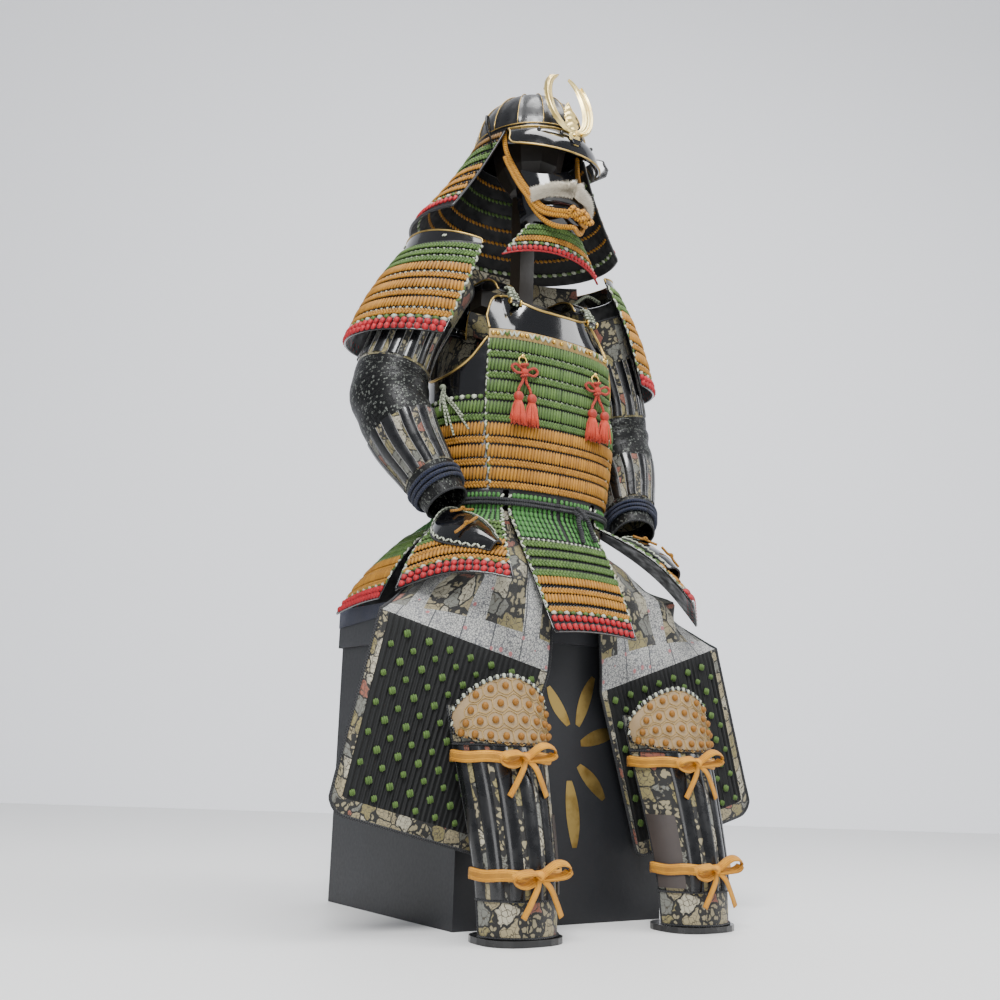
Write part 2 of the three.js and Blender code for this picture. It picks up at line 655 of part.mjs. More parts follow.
function sleevePoint(s, angle, at) {
  const v = THREE.MathUtils.clamp(at, 0, 1);
  const way = armCurve(s);
  const middle = way.getPoint(v);
  const along = way.getTangent(v);
  const front = V(0, -1, 0).addScaledVector(along, along.y).normalize();
  const outward = front.clone().cross(along).multiplyScalar(s).normalize();
  const wide = armCurve(s, 'wide').getPoint(v).x;
  const deep = armCurve(s, 'deep').getPoint(v).x;
  return middle
    .addScaledVector(outward, wide * Math.sin(rad(angle)))
    .addScaledVector(front, deep * Math.cos(rad(angle)));
}
function sleevePieces() {
  const across = steps(0, 360, sleeveColumns).slice(0, sleeveColumns);
  const down = [0, 0.18, 0.2, 0.3, 0.4, 0.42, 0.5, 0.58, 0.64, 0.66, 0.76, 0.86, 0.88, 1];
  const splint = (v) => (v > 0.19 && v < 0.41) || (v > 0.65 && v < 0.87);
  for (const { name, s } of sides) {
    const middle = armCurve(s);
    const nearest = (p) => {
      const best = steps(0, 1, 40).map((t) => middle.getPoint(t)).sort((a, b) =>
          a.distanceTo(p) - b.distanceTo(p))[0];
      return p.clone().sub(best);
    };
    add(`sleeve_${name}`, wall({
      point: (u, v) => sleevePoint(s, u, v),
      across,
      down,
      plainDown: [0, 0.3, 0.5, 0.64, 1],
      thick: cloth,
      lift: (u, v) => {
        const i = Math.round(u / 360 * sleeveColumns);
        const facing = u < 200 || u > 320;
        return splint(v) && facing && i % 2 === 0 ? 2.6 : 0;
      },
      out: nearest,
      round: true,
    }), 0x4a4438, 0.8);
    const ring = (v, d) => across.map((u) => {
      const p = sleevePoint(s, u, v);
      return p.addScaledVector(nearest(p).normalize(), d);
    });
    const cords = [{ v: 0.9, d: 1.6 }, { v: 0.915, d: 6 }, { v: 0.945, d: 6 }, { v: 0.96, d: 1.6 }];
    add(`wrist_tie_${name}`, wallBody(
      cords.map(({ v, d }) => ring(v, d)), [ring(0.9, 0.8), ring(0.96, 0.8)], true), 0x1a2246, 0.85);
  }
}

// Hand guards: a curved leaf plate from each wrist, made from the points of the tasset that it lies on
const hand = { start: { u: 0.2, v: 0.37 }, tip: { u: 0.88, v: 0.76 }, across: { u: -0.19, v: 0.15 },
    seatAbove: 6, arch: 22 };
function handPoint(s, a, b) {
  const row = tassets.find(({ name }) => name === `tasset_front_${s < 0 ? 'right' : 'left'}`);
  const broad = 0.62 + 0.38 * Math.sin(Math.PI * Math.min(1, b * 1.1 + 0.05)) - 0.3 * Math.max(0, b - 0.8)
      * 5;
  const u = lerp(hand.start.u, hand.tip.u, b) + a * hand.across.u * broad;
  const v = lerp(hand.start.v, hand.tip.v, b) + a * hand.across.v * broad;
  const on = (du, dv) => tassetPoint(row, s < 0 ? u + du : 1 - u - du, v + dv);
  const normal = on(0.01, 0).sub(on(-0.01, 0)).cross(on(0, 0.01).sub(on(0, -0.01))).normalize();
  if (normal.z < 0) normal.negate();
  return on(0, 0).addScaledVector(normal, hand.seatAbove + hand.arch * (1 - a * a) * (1 - 0.5 * b));
}
function handPieces() {
  for (const { name, s } of sides) {
    add(`hand_guard_${name}`, wall({
      point: (u, v) => handPoint(s, u, v),
      across: [-1, -0.84, -0.4, 0.4, 0.84, 1],
      down: [0, 0.12, 0.35, 0.65, 0.9, 1],
      plainDown: [0, 0.35, 0.65, 1],
      thick: plate,
      lift: (u, v) => (Math.abs(u) > 0.9 || v > 0.95 ? 1.2 : 0),
      out: () => V(0, -0.3, 1),
    }), 0x121214, 0.2);
  }
}

// Shoulder guards: laced panels curved round each upper arm, under a black top plate
const shoulder = {
  top: { x: 125, y: -8, rx: 114, ry: 122, z: 1227 },
  low: { x: 204, y: 0, rx: 141, ry: 142, z: 1026 },
  from: -77, to: 66, rise: 30,
};
const shoulderRows = [
  ...[0, 1, 2].map((i) => ({ from: 0.03 + 0.085 * i, to: 0.115 + 0.085 * i, lift: laceLift })),
  ...[0, 1, 2, 3, 4, 5].map((i) => ({ from: 0.285 + 0.1 * i, to: 0.385 + 0.1 * i, lift: laceLift })),
  { from: 0.885, to: 0.945, lift: 3.4 },
  { from: 0.945, to: 1, lift: 3.4 },
];
function shoulderPoint(s, angle, v) {
  const { top, low } = shoulder;
  const mix = (key) => lerp(top[key], low[key], v);
  const x = mix('x') + mix('rx') * Math.cos(rad(angle));
  const y = mix('y') + mix('ry') * Math.sin(rad(angle));
  const swell = 10 * Math.sin(Math.PI * Math.min(1, Math.max(0, v)));
  return V(s * (x + swell * Math.cos(rad(angle))), y + swell * Math.sin(rad(angle)),
      mix('z') + 10 * Math.sin(rad(angle)));
}
function shoulderPieces() {
  const { down, lift } = laceRows(shoulderRows);
  const across = steps(shoulder.from, shoulder.to, 6);
  for (const { name, s } of sides) {
    const out = (p) => V(p.x - s * 150, p.y, 30);
    add(`shoulder_guard_${name}`, wall({
      point: (u, v) => shoulderPoint(s, u, v),
      across,
      down: [0, ...down],
      plainDown: [0, 0.5, 1],
      thick: plate,
      lift: (u, v) => lift(v),
      out,
    }), gloss.ochre, 0.85);
    const topRise = (u) => shoulder.rise * Math.cos(rad(u) * 0.9);
    add(`shoulder_plate_${name}`, wall({
      point: (u, v) => {
        const p = shoulderPoint(s, u, 0);
        const h = lerp(seat, Math.max(6, topRise(u)), v);
        return V(p.x - s * 0.35 * h * Math.cos(rad(u)), p.y - 0.35 * h * Math.sin(rad(u)), p.z + h);
      },
      across,
      down: [0, 0.86, 0.9, 1],
      plainDown: [0, 1],
      thick: plate,
      lift: (u, v) => (v > 0.88 ? 1.4 : 0),
      out,
    }), gloss.black, 0.2);
  }
}

// Shoulder straps over the stand's bar, with the toggle cords that close them in front
const strap = { wide: 44, thick: 6, top: 1168, bar: 1164.7 };
function strapPieces() {
  for (const { name, s } of sides) {
    const x = s * strapX;
    const way = [[x, -128, 1134], [x, -112, 1154], [x, -84, 1166], [x, -50, strap.top], [x, -10, strap.top],
      [x, 20, 1160], [x, 38, 1140], [x, 43, 1112], [x, 43, 1090]];
    const band = cord(way, { wide: strap.wide, thick: strap.thick, sides: 4, count: 8,
        up: () => V(0, 0, 1) });
    const tie = cord([[x, -126, 1142], [x, -139, 1138], [x, -148.6, 1120], [x, -156.6, 1098]],
        { wide: 9, thick: 9, sides: 4, count: 3 });
    const toggle = ball([13, 6, 6], [x, -154.6, 1110], 6, 4);
    const guard = shoulderPoint(s, -4, 0);
    const hanger = cord([[s * 104, -30, strap.top], [s * 150, -28, 1202], [s * 190, -20, 1234],
        [guard.x - s * 8.2, guard.y, 1237]],
      { wide: 8, sides: 4, count: 3 });
    const rim = sleevePoint(s, 270, 0);
    const sleeveTie = cord([[s * 106, -18, strap.top], [rim.x - s * 3, rim.y + 12, rim.z + 12],
        [rim.x, rim.y + 12, rim.z + 2]],
      { wide: 8, sides: 4, count: 2 });
    add(`shoulder_strap_${name}`, joined(band, tie, toggle, hanger, sleeveTie), 0x18181a, 0.4);
  }
}

// Gold rings on the breast, each with a red cord bow and two tassels
const ring = { x: 86, z: 985, radius: 8.5, bar: 1.6 };
function tasselPieces() {
  for (const { name, s } of sides) {
    const surface = torsoPoint(s * 23, ring.z).y;
    const x = s * ring.x;
    const front = surface - laceLift - 2.1;
    const torus = new THREE.TorusGeometry(ring.radius, ring.bar, 4, 10);
    torus.rotateX(Math.PI / 2);
    torus.translate(x, front, ring.z);
    add(`breast_ring_${name}`, closedBody(trianglesOf(torus)), gloss.gold, 0.25, 1);
    const at = (dx, dy, z) => [x + dx, front + dy, z];
    const parts = [ball([8, 7, 9], at(0, -7, 962), 6, 4),
        cord([at(0, -1.6, 975.3), at(0, -5, 968), at(0, -7, 962)], { wide: 6, sides: 4, count: 2 })];
    for (const k of [-1, 1]) {
      parts.push(cord([at(k * 2, -7, 964), at(k * 20, -9, 972), at(k * 28, -8, 966), at(k * 20, -9, 958),
          at(k * 2, -7, 960)],
        { wide: 5.5, sides: 4, count: 4 }));
      parts.push(cord([at(k * 2, -7, 958), at(k * 5, -8, 944), at(k * 13, -9, 930), at(k * 15, -9, 918)],
          { wide: 6, sides: 4, count: 2 }));
      parts.push(ball([9.5, 8.5, 10], at(k * 15, -12, 912), 6, 4));
      const strands = 5;
      for (let i = 0; i < strands; i += 1) {
        const a = (2 * Math.PI * i) / strands;
        const [cx, cy] = [Math.cos(a), Math.sin(a)];
        parts.push(cord([at(k * 15 + cx * 5, -12 + cy * 4.4, 909), at(k * 15 + cx * 9, -12 + cy * 5.6, 892),
          at(k * 15 + cx * 12.5, -12 + cy * 6, 864 + 3 * Math.sin(5 * i))],
        { wide: 4.4, thick: 4.4, sides: 3, count: 1 }));
      }
    }
    add(`breast_tassel_${name}`, joined(...parts), 0xd2502c, 0.85);
  }
}
function trianglesOf(geometry) {
  const p = geometry.attributes.position;
  return Array.from(geometry.index.array, (i) => V(p.getX(i), p.getY(i), p.getZ(i)));
}

// Cords that close the cuirass at its right side, tied once and left hanging
function sideTiePiece() {
  const strands = [
    { dx: 16, drop: 96, dy: 14 }, { dx: 28, drop: 60, dy: -8 }, { dx: 6, drop: 78, dy: 22 },
    { dx: 36, drop: 84, dy: 4 }, { dx: -4, drop: 50, dy: 30 },
  ];
  const [x, y, z] = [-198.6, -84, 934];
  const parts = [ball([9, 9, 8], [x, y, z], 6, 4)];
  for (const { dx, drop, dy } of strands) {
    parts.push(cord([[x, y, z], [x - 8 + dx * 0.3, y - 8 - dy * 0.2, z - drop * 0.25],
        [x - 8 + dx * 0.6, y - 12 - dx * 0.5, z - drop * 0.6],
      [x - 6 + dx, y - 14 - dx * 0.9, z - drop]], { wide: 4, sides: 3, count: 3 }));
  }
  add('side_tie', joined(...parts), 0x9fae8c, 0.85);
}

// Helmet: ribbed bowl, finial, peak with its crest socket, ear plates and the flaring neck guard
const bowl = { x: 108, y: 121, middle: -60, base: 1478, height: 116, ribs: 14, hole: 0.9 };
function bowlPoint(angle, v, grow = 0) {
  const rise = Math.sin((v * Math.PI) / 2);
  const reach = Math.cos((v * Math.PI) / 2) ** 0.92;
  return V((bowl.x + grow) * reach * Math.sin(rad(angle)),
      bowl.middle - (bowl.y + grow) * reach * Math.cos(rad(angle)),
    bowl.base + bowl.height * rise);
}
const neck = { from: 64, to: 296, low: { x: 226, y: 182, middle: -20, z: 1290 } };
const neckRows = [
  ...[0, 1, 2, 3, 4, 5].map((i) => ({ from: 0.02 + 0.135 * i, to: 0.155 + 0.135 * i, lift: laceLift })),
  { from: 0.85, to: 0.96, lift: 3.4 },
];
function neckPoint(angle, v) {
  const top = V(bowl.x * Math.sin(rad(angle)), bowl.middle - bowl.y * Math.cos(rad(angle)),
      bowl.base - seat);
  const { low } = neck;
  const bottom = V(low.x * Math.sin(rad(angle)), low.middle - low.y * Math.cos(rad(angle)), low.z);
  const p = top.lerp(bottom, v);
  const tuck = 7 * Math.sin(Math.PI * v);
  return p.add(V(-tuck * Math.sin(rad(angle)), tuck * Math.cos(rad(angle)), 0));
}
const peak = { end: 63, rimX: 126, rimMiddle: -80, rimY: 138, low: 1412, endLow: 1432 };
function peakPoint(angle, v) {
  const root = V(bowl.x * Math.sin(rad(angle)), bowl.middle - bowl.y * Math.cos(rad(angle)),
      bowl.base - seat);
  const off = angle / peak.end;
  const rim = V(peak.rimX * Math.sin(rad(angle)), peak.rimMiddle - peak.rimY * Math.cos(rad(angle)),
    lerp(peak.low, peak.endLow, off * off));
  const p = root.lerp(rim, v);
  return p.add(V(0, -7 * Math.sin(Math.PI * v), 5 * Math.sin(Math.PI * v)));
}
const crest = { tilt: 16, foot: [0, -209, 1451], slide: 22 };
function turned(geometry) {
  geometry.rotateX(-rad(crest.tilt));
  geometry.translate(...crest.foot);
  return geometry;
}
function helmetPieces() {
  const columns = bowl.ribs * 2;
  const round = steps(0, 360, columns).slice(0, columns);
  const out = (p) => V(p.x, p.y - bowl.middle, 40);
  add('helmet_bowl', wall({
    point: (u, v) => bowlPoint(u, v),
    across: round,
    down: [0, 0.04, 0.07, 0.3, 0.55, 0.78, bowl.hole],
    plainDown: [0, 0.4, bowl.hole],
    thick: 3,
    lift: (u, v) => (v < 0.05 ? 1.6 : Math.round((u / 360) * columns) % 2 === 0 && v < 0.84 ? 2 : 0),
    out,
    round: true,
  }), 0x131316, 0.3);
  const top = bowl.base + bowl.height;
  const profile = [[9, 0.8], [26, -1.8], [27, 0.6], [15, 6], [12, 11.4], [9, 11.4]];
  const finial = new THREE.LatheGeometry(profile.map(([r, h]) =>
      new THREE.Vector2(r, h)).concat(new THREE.Vector2(9, 0.8)), 10);
  finial.rotateX(Math.PI / 2);
  finial.translate(0, bowl.middle, top + 0.6);
  add('helmet_finial', closedBody(trianglesOf(finial)), gloss.gold, 0.3, 1);
  const visor = wall({
    point: peakPoint,
    across: steps(-peak.end, peak.end, 12),
    down: [0, 0.45, 0.9, 0.93, 1],
    plainDown: [0, 0.5, 1],
    thick: 3,
    lift: (u, v) => (v > 0.91 ? 1.6 : 0),
    out: () => V(0, -1, 1),
  });
  const socket = turned(block(20, 8, 12, 0, 0, -12.3));
  const slot = turned(block(13, 2.6, 40, 0, 0, -36));
  add('helmet_peak', cut(joined(visor, socket), slot), 0x121214, 0.2);
  for (const { name, s } of sides) {
    const corners = { a: [121.6, -104.4, 1436], b: [113.6, -82.4, 1470], c: [157, -127, 1456],
        d: [143, -111, 1500] };
    const [a, b, c, d] = Object.values(corners).map((p) => V(s * p[0], p[1], p[2]));
    add(`ear_plate_${name}`, wall({
      point: (u, v) => {
        const p = a.clone().lerp(b, v).lerp(c.clone().lerp(d, v), u);
        const curl = Math.sin(Math.PI * u * 0.8) * 5;
        return p.add(V(0, -curl, 0));
      },
      across: steps(0, 1, 3),
      down: [0, 0.5, 1],
      thick: 2.4,
      out: () => V(0, -1, 0.2),
    }), 0x141417, 0.3);
  }
  const { down, lift } = laceRows(neckRows);
  add('neck_guard', wall({
    point: neckPoint,
    across: steps(neck.from, neck.to, 16),
    down: [0, ...down, 1],
    plainDown: [0, 0.5, 1],
    thick: plate,
    lift: (u, v) => (v > 0.96 ? 1.2 : lift(v)),
    out,
  }), gloss.ochre, 0.85);
}

// Gold sheet crest: a pair of feathered blades round an upright leaf, on a tongue that slides in its socket
function crestPiece() {
  const sheet = 1.6;
  const depth = (shape) => {
    const geometry = new THREE.ExtrudeGeometry(shape,
        { depth: sheet, bevelEnabled: false, curveSegments: 8 });
    geometry.rotateX(Math.PI / 2);
    geometry.translate(0, sheet / 2, 0);
    return turned(geometry);
  };
  const feather = (s) => {
    const shape = new THREE.Shape();
    const points = [];
    const count = 15;
    for (let i = 0; i <= count; i += 1) {
      const t = i / count;
      const a = lerp(-88, 78, t);
      const notch = i % 3 === 2 && i < count - 1 ? -5 : 0;
      points.push([(56 + notch) * Math.cos(rad(a)) + 2, 86 + (84 + notch) * Math.sin(rad(a))]);
    }
    for (let i = count; i >= 0; i -= 2) {
      const t = i / count;
      const a = lerp(-84, 78, t);
      const width = 20 * Math.sin(Math.PI * Math.min(0.94, t + 0.12)) + 1;
      points.push([(56 - width) * Math.cos(rad(a)) + 2, 88 + (82 - width * 0.8) * Math.sin(rad(a))]);
    }
    points.forEach(([x, z], i) => (i ? shape.lineTo(s * x, z) : shape.moveTo(s * x, z)));
    return depth(shape);
  };
  const leaf = new THREE.Shape();
  const teeth = 6;
  const outline = [];
  for (let i = 0; i <= teeth * 2; i += 1) {
    const t = i / (teeth * 2);
    outline.push([(15 * Math.sin(Math.PI * (0.12 + 0.86 * t)) ** 0.8) * (i % 2 ? 0.68 : 1), 6 + 84 * t]);
  }
  outline.forEach(([x, z], i) => (i ? leaf.lineTo(x, z) : leaf.moveTo(x, z)));
  [...outline].reverse().forEach(([x, z]) => leaf.lineTo(-x, z));
  const foot = turned(block(26, sheet, 16, 0, 0, 0));
  const tongue = turned(block(12.4, sheet, 13, 0, 0, -12.4));
  add('crest', joined(depth(leaf), feather(1), feather(-1), foot, tongue), 0xc9a64a, 0.25, 1);
}

// Half mask with nose and lips, its fur moustache, the throat guard and the chin cord
const mask = [
  { z: 1276, half: 60, front: -176 },
  { z: 1292, half: 66, front: -194 },
  { z: 1306, half: 70, front: -199 },
  { z: 1316, half: 72, front: -195 },
  { z: 1326, half: 74, front: -200 },
  { z: 1342, half: 76, front: -198 },
  { z: 1392, half: 78, front: -186 },
];
const maskBack = -104;
function maskPoint(angle, z) {
  const [half, front] = ['half', 'front'].map((c) => read(mask, 'z', c, z));
  const y = maskBack - (maskBack - front) * Math.cos(rad(angle)) ** 0.85;
  const nose = Math.max(0, 1 - Math.abs(angle) / 15) * Math.max(0, 1 - Math.abs(z - 1358) / 34);
  return V(half * Math.sin(rad(angle)), y - 20 * nose, z);
}
function facePieces() {
  const end = 80;
  const edge = (angle) => 1390 - 16 * Math.sin(Math.PI * Math.min(1, Math.abs(angle) / 70));
  const point = (u, v) => maskPoint(u, lerp(1276, edge(u), v));
  const across = [-80, -60, -44, -30, -15, -7, 0, 7, 15, 30, 44, 60, 80];
  add('face_mask', wall({
    point, across, down: steps(0, 1, 9), plainDown: steps(0, 1, 3), thick: 2.5,
        out: (p) => V(p.x, p.y - maskBack, 0),
  }), 0x0d0d0f, 0.1);
  const furWay = [-52, -38, -20, 0, 20, 38, 52].map((a) => {
    const p = maskPoint(a, 1340 - 12 * (a / 52) ** 2);
    const outward = V(Math.sin(rad(a)), -Math.cos(rad(a)), 0);
    return p.addScaledVector(outward, 8.5).toArray();
  });
  add('moustache', cord(furWay, {
    wide: 19, thick: 16, sides: 6, count: 8, up: (p) => V(p.x, p.y - maskBack, 0),
    taper: (t) => 0.45 + 0.55 * Math.sin(Math.PI * Math.min(0.92, Math.max(0.08, t))),
  }), 0xe9e2d2, 0.95);
  const throatRows = [
    { from: 0.05, to: 0.26, lift: 2 }, { from: 0.26, to: 0.48, lift: 2 },
        { from: 0.48, to: 0.72, lift: 2.4 },
    { from: 0.76, to: 0.97, lift: 3 },
  ];
  const { down, lift } = laceRows(throatRows);
  add('throat_guard', wall({
    point: (u, v) => {
      const top = V(88 * Math.sin(rad(u)), -96 - 78 * Math.cos(rad(u)), 1275.6);
      const low = V(168 * Math.sin(rad(u)), -62 - 112 * Math.cos(rad(u)), 1219 - 19 * (u / 44) ** 2);
      return top.lerp(low, v);
    },
    across: steps(-44, 44, 8),
    down: [0, ...down, 1],
    plainDown: [0, 0.5, 1],
    thick: plate,
    lift: (u, v) => (v > 0.97 ? 0 : lift(v)),
    out: (p) => V(p.x, p.y, 0),
  }), gloss.green, 0.85);
  const knot = [8, -217, 1290];
  const parts = [ball([17, 9, 10], knot, 6, 4)];
  for (const { s } of sides) {
    const on = (a, z, d) => maskPoint(s * a,
        z).add(V(s * Math.sin(rad(a)), -Math.cos(rad(a)), 0).multiplyScalar(d)).toArray();
    parts.push(cord([[s * 92, -100, 1484], [s * 90, -106, 1440], on(76, 1386, 6), on(64, 1348, 5.6),
        on(46, 1305, 6.4),
      on(28, 1294, 9), on(12, 1292, 15), knot], { wide: 8.5, sides: 4, count: 10 }));
    parts.push(cord([on(70, 1366, 5.6), on(60, 1318, 6.4), on(44, 1284, 10), on(22, 1266, 20),
        [0, -212, 1262]],
      { wide: 8.5, sides: 4, count: 7 }));
  }
  add('chin_cord', joined(...parts), 0xc08a1e, 0.85);
}

// Stand inside the suit: foot, post, shoulder bar and a smooth head block
function standPiece() {
  const low = lid.top + 2 * seat + lidCloth.thick;
  const [x, y] = [0, -45];
  add('stand', joined(
    block(190, 170, 12, x, y, low),
    block(40, 40, 1150 - low - 1, x, y, low + 1),
    block(196, 40, strap.bar - 1130, x, y + 16, 1130),
    block(34, 34, 320, x, y, 1140),
    ball([70, 84, 106], [0, -58, 1484], 10, 6),
  ), 0x26221e, 0.6);
}

storageBox();
lidClothPiece();
standPiece();
helmetPieces();
crestPiece();
facePieces();
strapPieces();
chestPieces();
cuirassPieces();
tasselPieces();
sideTiePiece();
sashPiece();
tassetPieces();
shoulderPieces();
sleevePieces();
handPieces();
thighPieces();
shinPieces();

export default armour;
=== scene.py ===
import bpy
import math
import random
from mathutils import Matrix, Vector


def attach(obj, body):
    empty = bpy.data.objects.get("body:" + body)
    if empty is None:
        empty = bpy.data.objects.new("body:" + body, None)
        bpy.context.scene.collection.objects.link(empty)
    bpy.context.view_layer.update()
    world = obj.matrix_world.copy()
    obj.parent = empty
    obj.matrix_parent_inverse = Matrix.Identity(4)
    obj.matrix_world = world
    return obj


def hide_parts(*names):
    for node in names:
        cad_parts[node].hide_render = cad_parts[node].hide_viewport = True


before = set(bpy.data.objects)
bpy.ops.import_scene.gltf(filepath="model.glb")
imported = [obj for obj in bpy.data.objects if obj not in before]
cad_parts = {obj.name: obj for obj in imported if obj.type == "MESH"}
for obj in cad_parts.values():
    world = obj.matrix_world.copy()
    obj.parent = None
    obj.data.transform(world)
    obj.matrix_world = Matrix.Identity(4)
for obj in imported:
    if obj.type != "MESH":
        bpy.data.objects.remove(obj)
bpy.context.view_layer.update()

# Samurai armour on its box. Sizes are worked out in millimetres and turned to metres in the meshes.
random.seed(7)

camera = {"place": (-1.29077, -1.86677, 0.26969), "azimuth": -34.551, "pitch": 12.307, "roll": 1.786,
    "lens": 42.66}


def makeCamera():
    turn, pitch, roll = [math.radians(camera[key]) for key in ("azimuth", "pitch", "roll")]
    level = Vector((-math.sin(turn), math.cos(turn), 0))
    ahead = level * math.cos(pitch) + Vector((0, 0, math.sin(pitch)))
    across = level.cross(Vector((0, 0, 1))).normalized()
    above = across.cross(ahead)
    right = across * math.cos(roll) + above * math.sin(roll)
    up = above * math.cos(roll) - across * math.sin(roll)
    data = bpy.data.cameras.new("camera")
    data.lens = camera["lens"]
    data.sensor_width = 36
    seen = bpy.data.objects.new("camera", data)
    turned = Matrix((right, up, -ahead)).transposed().to_4x4()
    seen.matrix_world = Matrix.Translation(camera["place"]) @ turned
    bpy.context.scene.collection.objects.link(seen)
    bpy.context.scene.camera = seen


makeCamera()
print("camera placed")

# Shared sums


def lerp(a, b, t):
    return a + (b - a) * t


def steps(start, end, count):
    return [lerp(start, end, i / count) for i in range(count + 1)]


def clamp(value, low, high):
    return max(low, min(high, value))


def smoothstep(value, low, high):
    t = clamp((value - low) / (high - low), 0, 1)
    return t * t * (3 - 2 * t)


def sinD(angle):
    return math.sin(math.radians(angle))


def cosD(angle):
    return math.cos(math.radians(angle))


# A smooth curve through the rows of a table, whose first column says where each row stands
def readTable(table, column, at):
    last = len(table) - 1
    x = clamp(at, table[0][0], table[last][0])
    i = 1
    while i < last and x > table[i][0]:
        i += 1

    def slope(k):
        a, b = table[max(0, k - 1)], table[min(last, k + 1)]
        return (b[column] - a[column]) / (b[0] - a[0])

    a, b = table[i - 1], table[i]
    span = b[0] - a[0]
    t = (x - a[0]) / span
    t2, t3 = t * t, t * t * t
    return ((2 * t3 - 3 * t2 + 1) * a[column] + (t3 - 2 * t2 + t) * span * slope(i - 1)
            + (3 * t2 - 2 * t3) * b[column] + (t3 - t2) * span * slope(i))


def catmull(points, count, closed=False):
    ends = [Vector(p) for p in points]
    n = len(ends)
    made = []
    spans = n if closed else n - 1
    for i in range(spans):
        if closed:
            a, b, c, d = [ends[(i + k) % n] for k in (-1, 0, 1, 2)]
        else:
            b, c = ends[i], ends[i + 1]
            a = ends[i - 1] if i else b * 2 - c
            d = ends[i + 2] if i + 2 < n else c * 2 - b
        for k in range(count):
            t = k / count
            made.append(0.5 * ((2 * b) + (c - a) * t + (2 * a - 5 * b + 4 * c - d) * t * t
                               + (3 * b - a - 3 * c + d) * t * t * t))
    if not closed:
        made.append(ends[-1].copy())
    return made


# The same way in points an even distance apart
def evenly(points, spacing):
    reach = [0.0]
    for a, b in zip(points, points[1:]):
        reach.append(reach[-1] + (b - a).length)
    count = max(2, round(reach[-1] / spacing))
    made = []
    k = 1
    for i in range(count + 1):
        at = reach[-1] * i / count
        while k < len(reach) - 1 and reach[k] < at:
            k += 1
        t = (at - reach[k - 1]) / max(1e-9, reach[k] - reach[k - 1])
        made.append(points[k - 1].lerp(points[k], clamp(t, 0, 1)))
    return made


def wayLength(points):
    return sum((b - a).length for a, b in zip(points, points[1:]))


# Mesh making


# Straight out from an upright tube, angle 0 in front
def facing(angle):
    return Vector((sinD(angle), -cosD(angle), 0))


def deselectAll():
    for shown in list(bpy.context.selected_objects):
        shown.select_set(False)


def choose(piece):
    deselectAll()
    piece.select_set(True)
    bpy.context.view_layer.objects.active = piece


def applied(piece, kind, name="step", **values):
    choose(piece)
    modifier = piece.modifiers.new(name, kind)
    for key, value in values.items():
        setattr(modifier, key, value)
    bpy.ops.object.modifier_apply(modifier=modifier.name)


def smooth(piece, angle=35):
    choose(piece)
    bpy.ops.object.shade_smooth_by_angle(angle=math.radians(angle))


def normalAt(point, away, u, v, du, dv):
    along = point(u + du, v) - point(u - du, v)
    down = point(u, v + dv) - point(u, v - dv)
    n = along.cross(down).normalized()
    return -n if n.dot(away(point(u, v))) < 0 else n


# A grid laid on point(u, v): its first map is in metres, its second runs from 0 to 1 both ways
def surfacePiece(name, point, across, down, away, thick=0.0, closed=False, angle=35):
    deselectAll()
    bpy.ops.mesh.primitive_grid_add(x_subdivisions=len(across) - 1, y_subdivisions=len(down) - 1, size=2)
    piece = bpy.context.object
    piece.name = name
    mesh = piece.data
    mesh.name = name
    columns, rows = len(across), len(down)
    spots = [point(u, v) for v in down for u in across]
    mesh.vertices.foreach_set("co", [c * 0.001 for p in spots for c in p])
    middleRow = spots[(rows // 2) * columns:(rows // 2 + 1) * columns]
    middleColumn = spots[columns // 2::columns]
    along, depth = [0.0], [0.0]
    for a, b in zip(middleRow, middleRow[1:]):
        along.append(along[-1] + (b - a).length * 0.001)
    for a, b in zip(middleColumn, middleColumn[1:]):
        depth.append(depth[-1] + (b - a).length * 0.001)
    loopSpots = [0] * len(mesh.loops)
    mesh.loops.foreach_get("vertex_index", loopSpots)
    real = mesh.uv_layers[0]
    real.name = "real"
    real.data.foreach_set("uv", [c for i in loopSpots for c in (along[i % columns], depth[i // columns])])
    share = mesh.uv_layers.new(name="share")
    share.data.foreach_set("uv",
        [c for i in loopSpots for c in ((i % columns) / (columns - 1), (i // columns) / (rows - 1))])
    mesh.update()
    middle = mesh.polygons[(rows // 2 - (rows > 2)) * (columns - 1) + columns // 2 - 1]
    if middle.normal.dot(away(middle.center * 1000)) < 0:
        mesh.flip_normals()
    if closed:
        choose(piece)
        bpy.ops.object.mode_set(mode="EDIT")
        bpy.ops.mesh.select_all(action="SELECT")
        bpy.ops.mesh.remove_doubles(threshold=1e-5)
        bpy.ops.object.mode_set(mode="OBJECT")
    if thick:
        applied(piece, "SOLIDIFY", thickness=thick * 0.001, offset=-1)
    smooth(piece, angle)
    return piece


def meshPiece(name, spots, faces, materials=None, faceMaterials=None, tints=None, uvs=None, flat=False):
    mesh = bpy.data.meshes.new(name)
    mesh.from_pydata([(p[0] * 0.001, p[1] * 0.001, p[2] * 0.001) for p in spots], [], faces)
    for finish in materials or []:
        mesh.materials.append(finish)
    if faceMaterials:
        mesh.polygons.foreach_set("material_index", faceMaterials)
    if tints:
        mesh.attributes.new("tint", "FLOAT", "POINT").data.foreach_set("value", tints)
    if uvs:
        loopSpots = [0] * len(mesh.loops)
        mesh.loops.foreach_get("vertex_index", loopSpots)
        layer = mesh.uv_layers.new(name="real")
        layer.data.foreach_set("uv", [c for i in loopSpots for c in uvs[i]])
    mesh.polygons.foreach_set("use_smooth", [not flat] * len(mesh.polygons))
    mesh.update()
    piece = bpy.data.objects.new(name, mesh)
    bpy.context.scene.collection.objects.link(piece)
    return piece


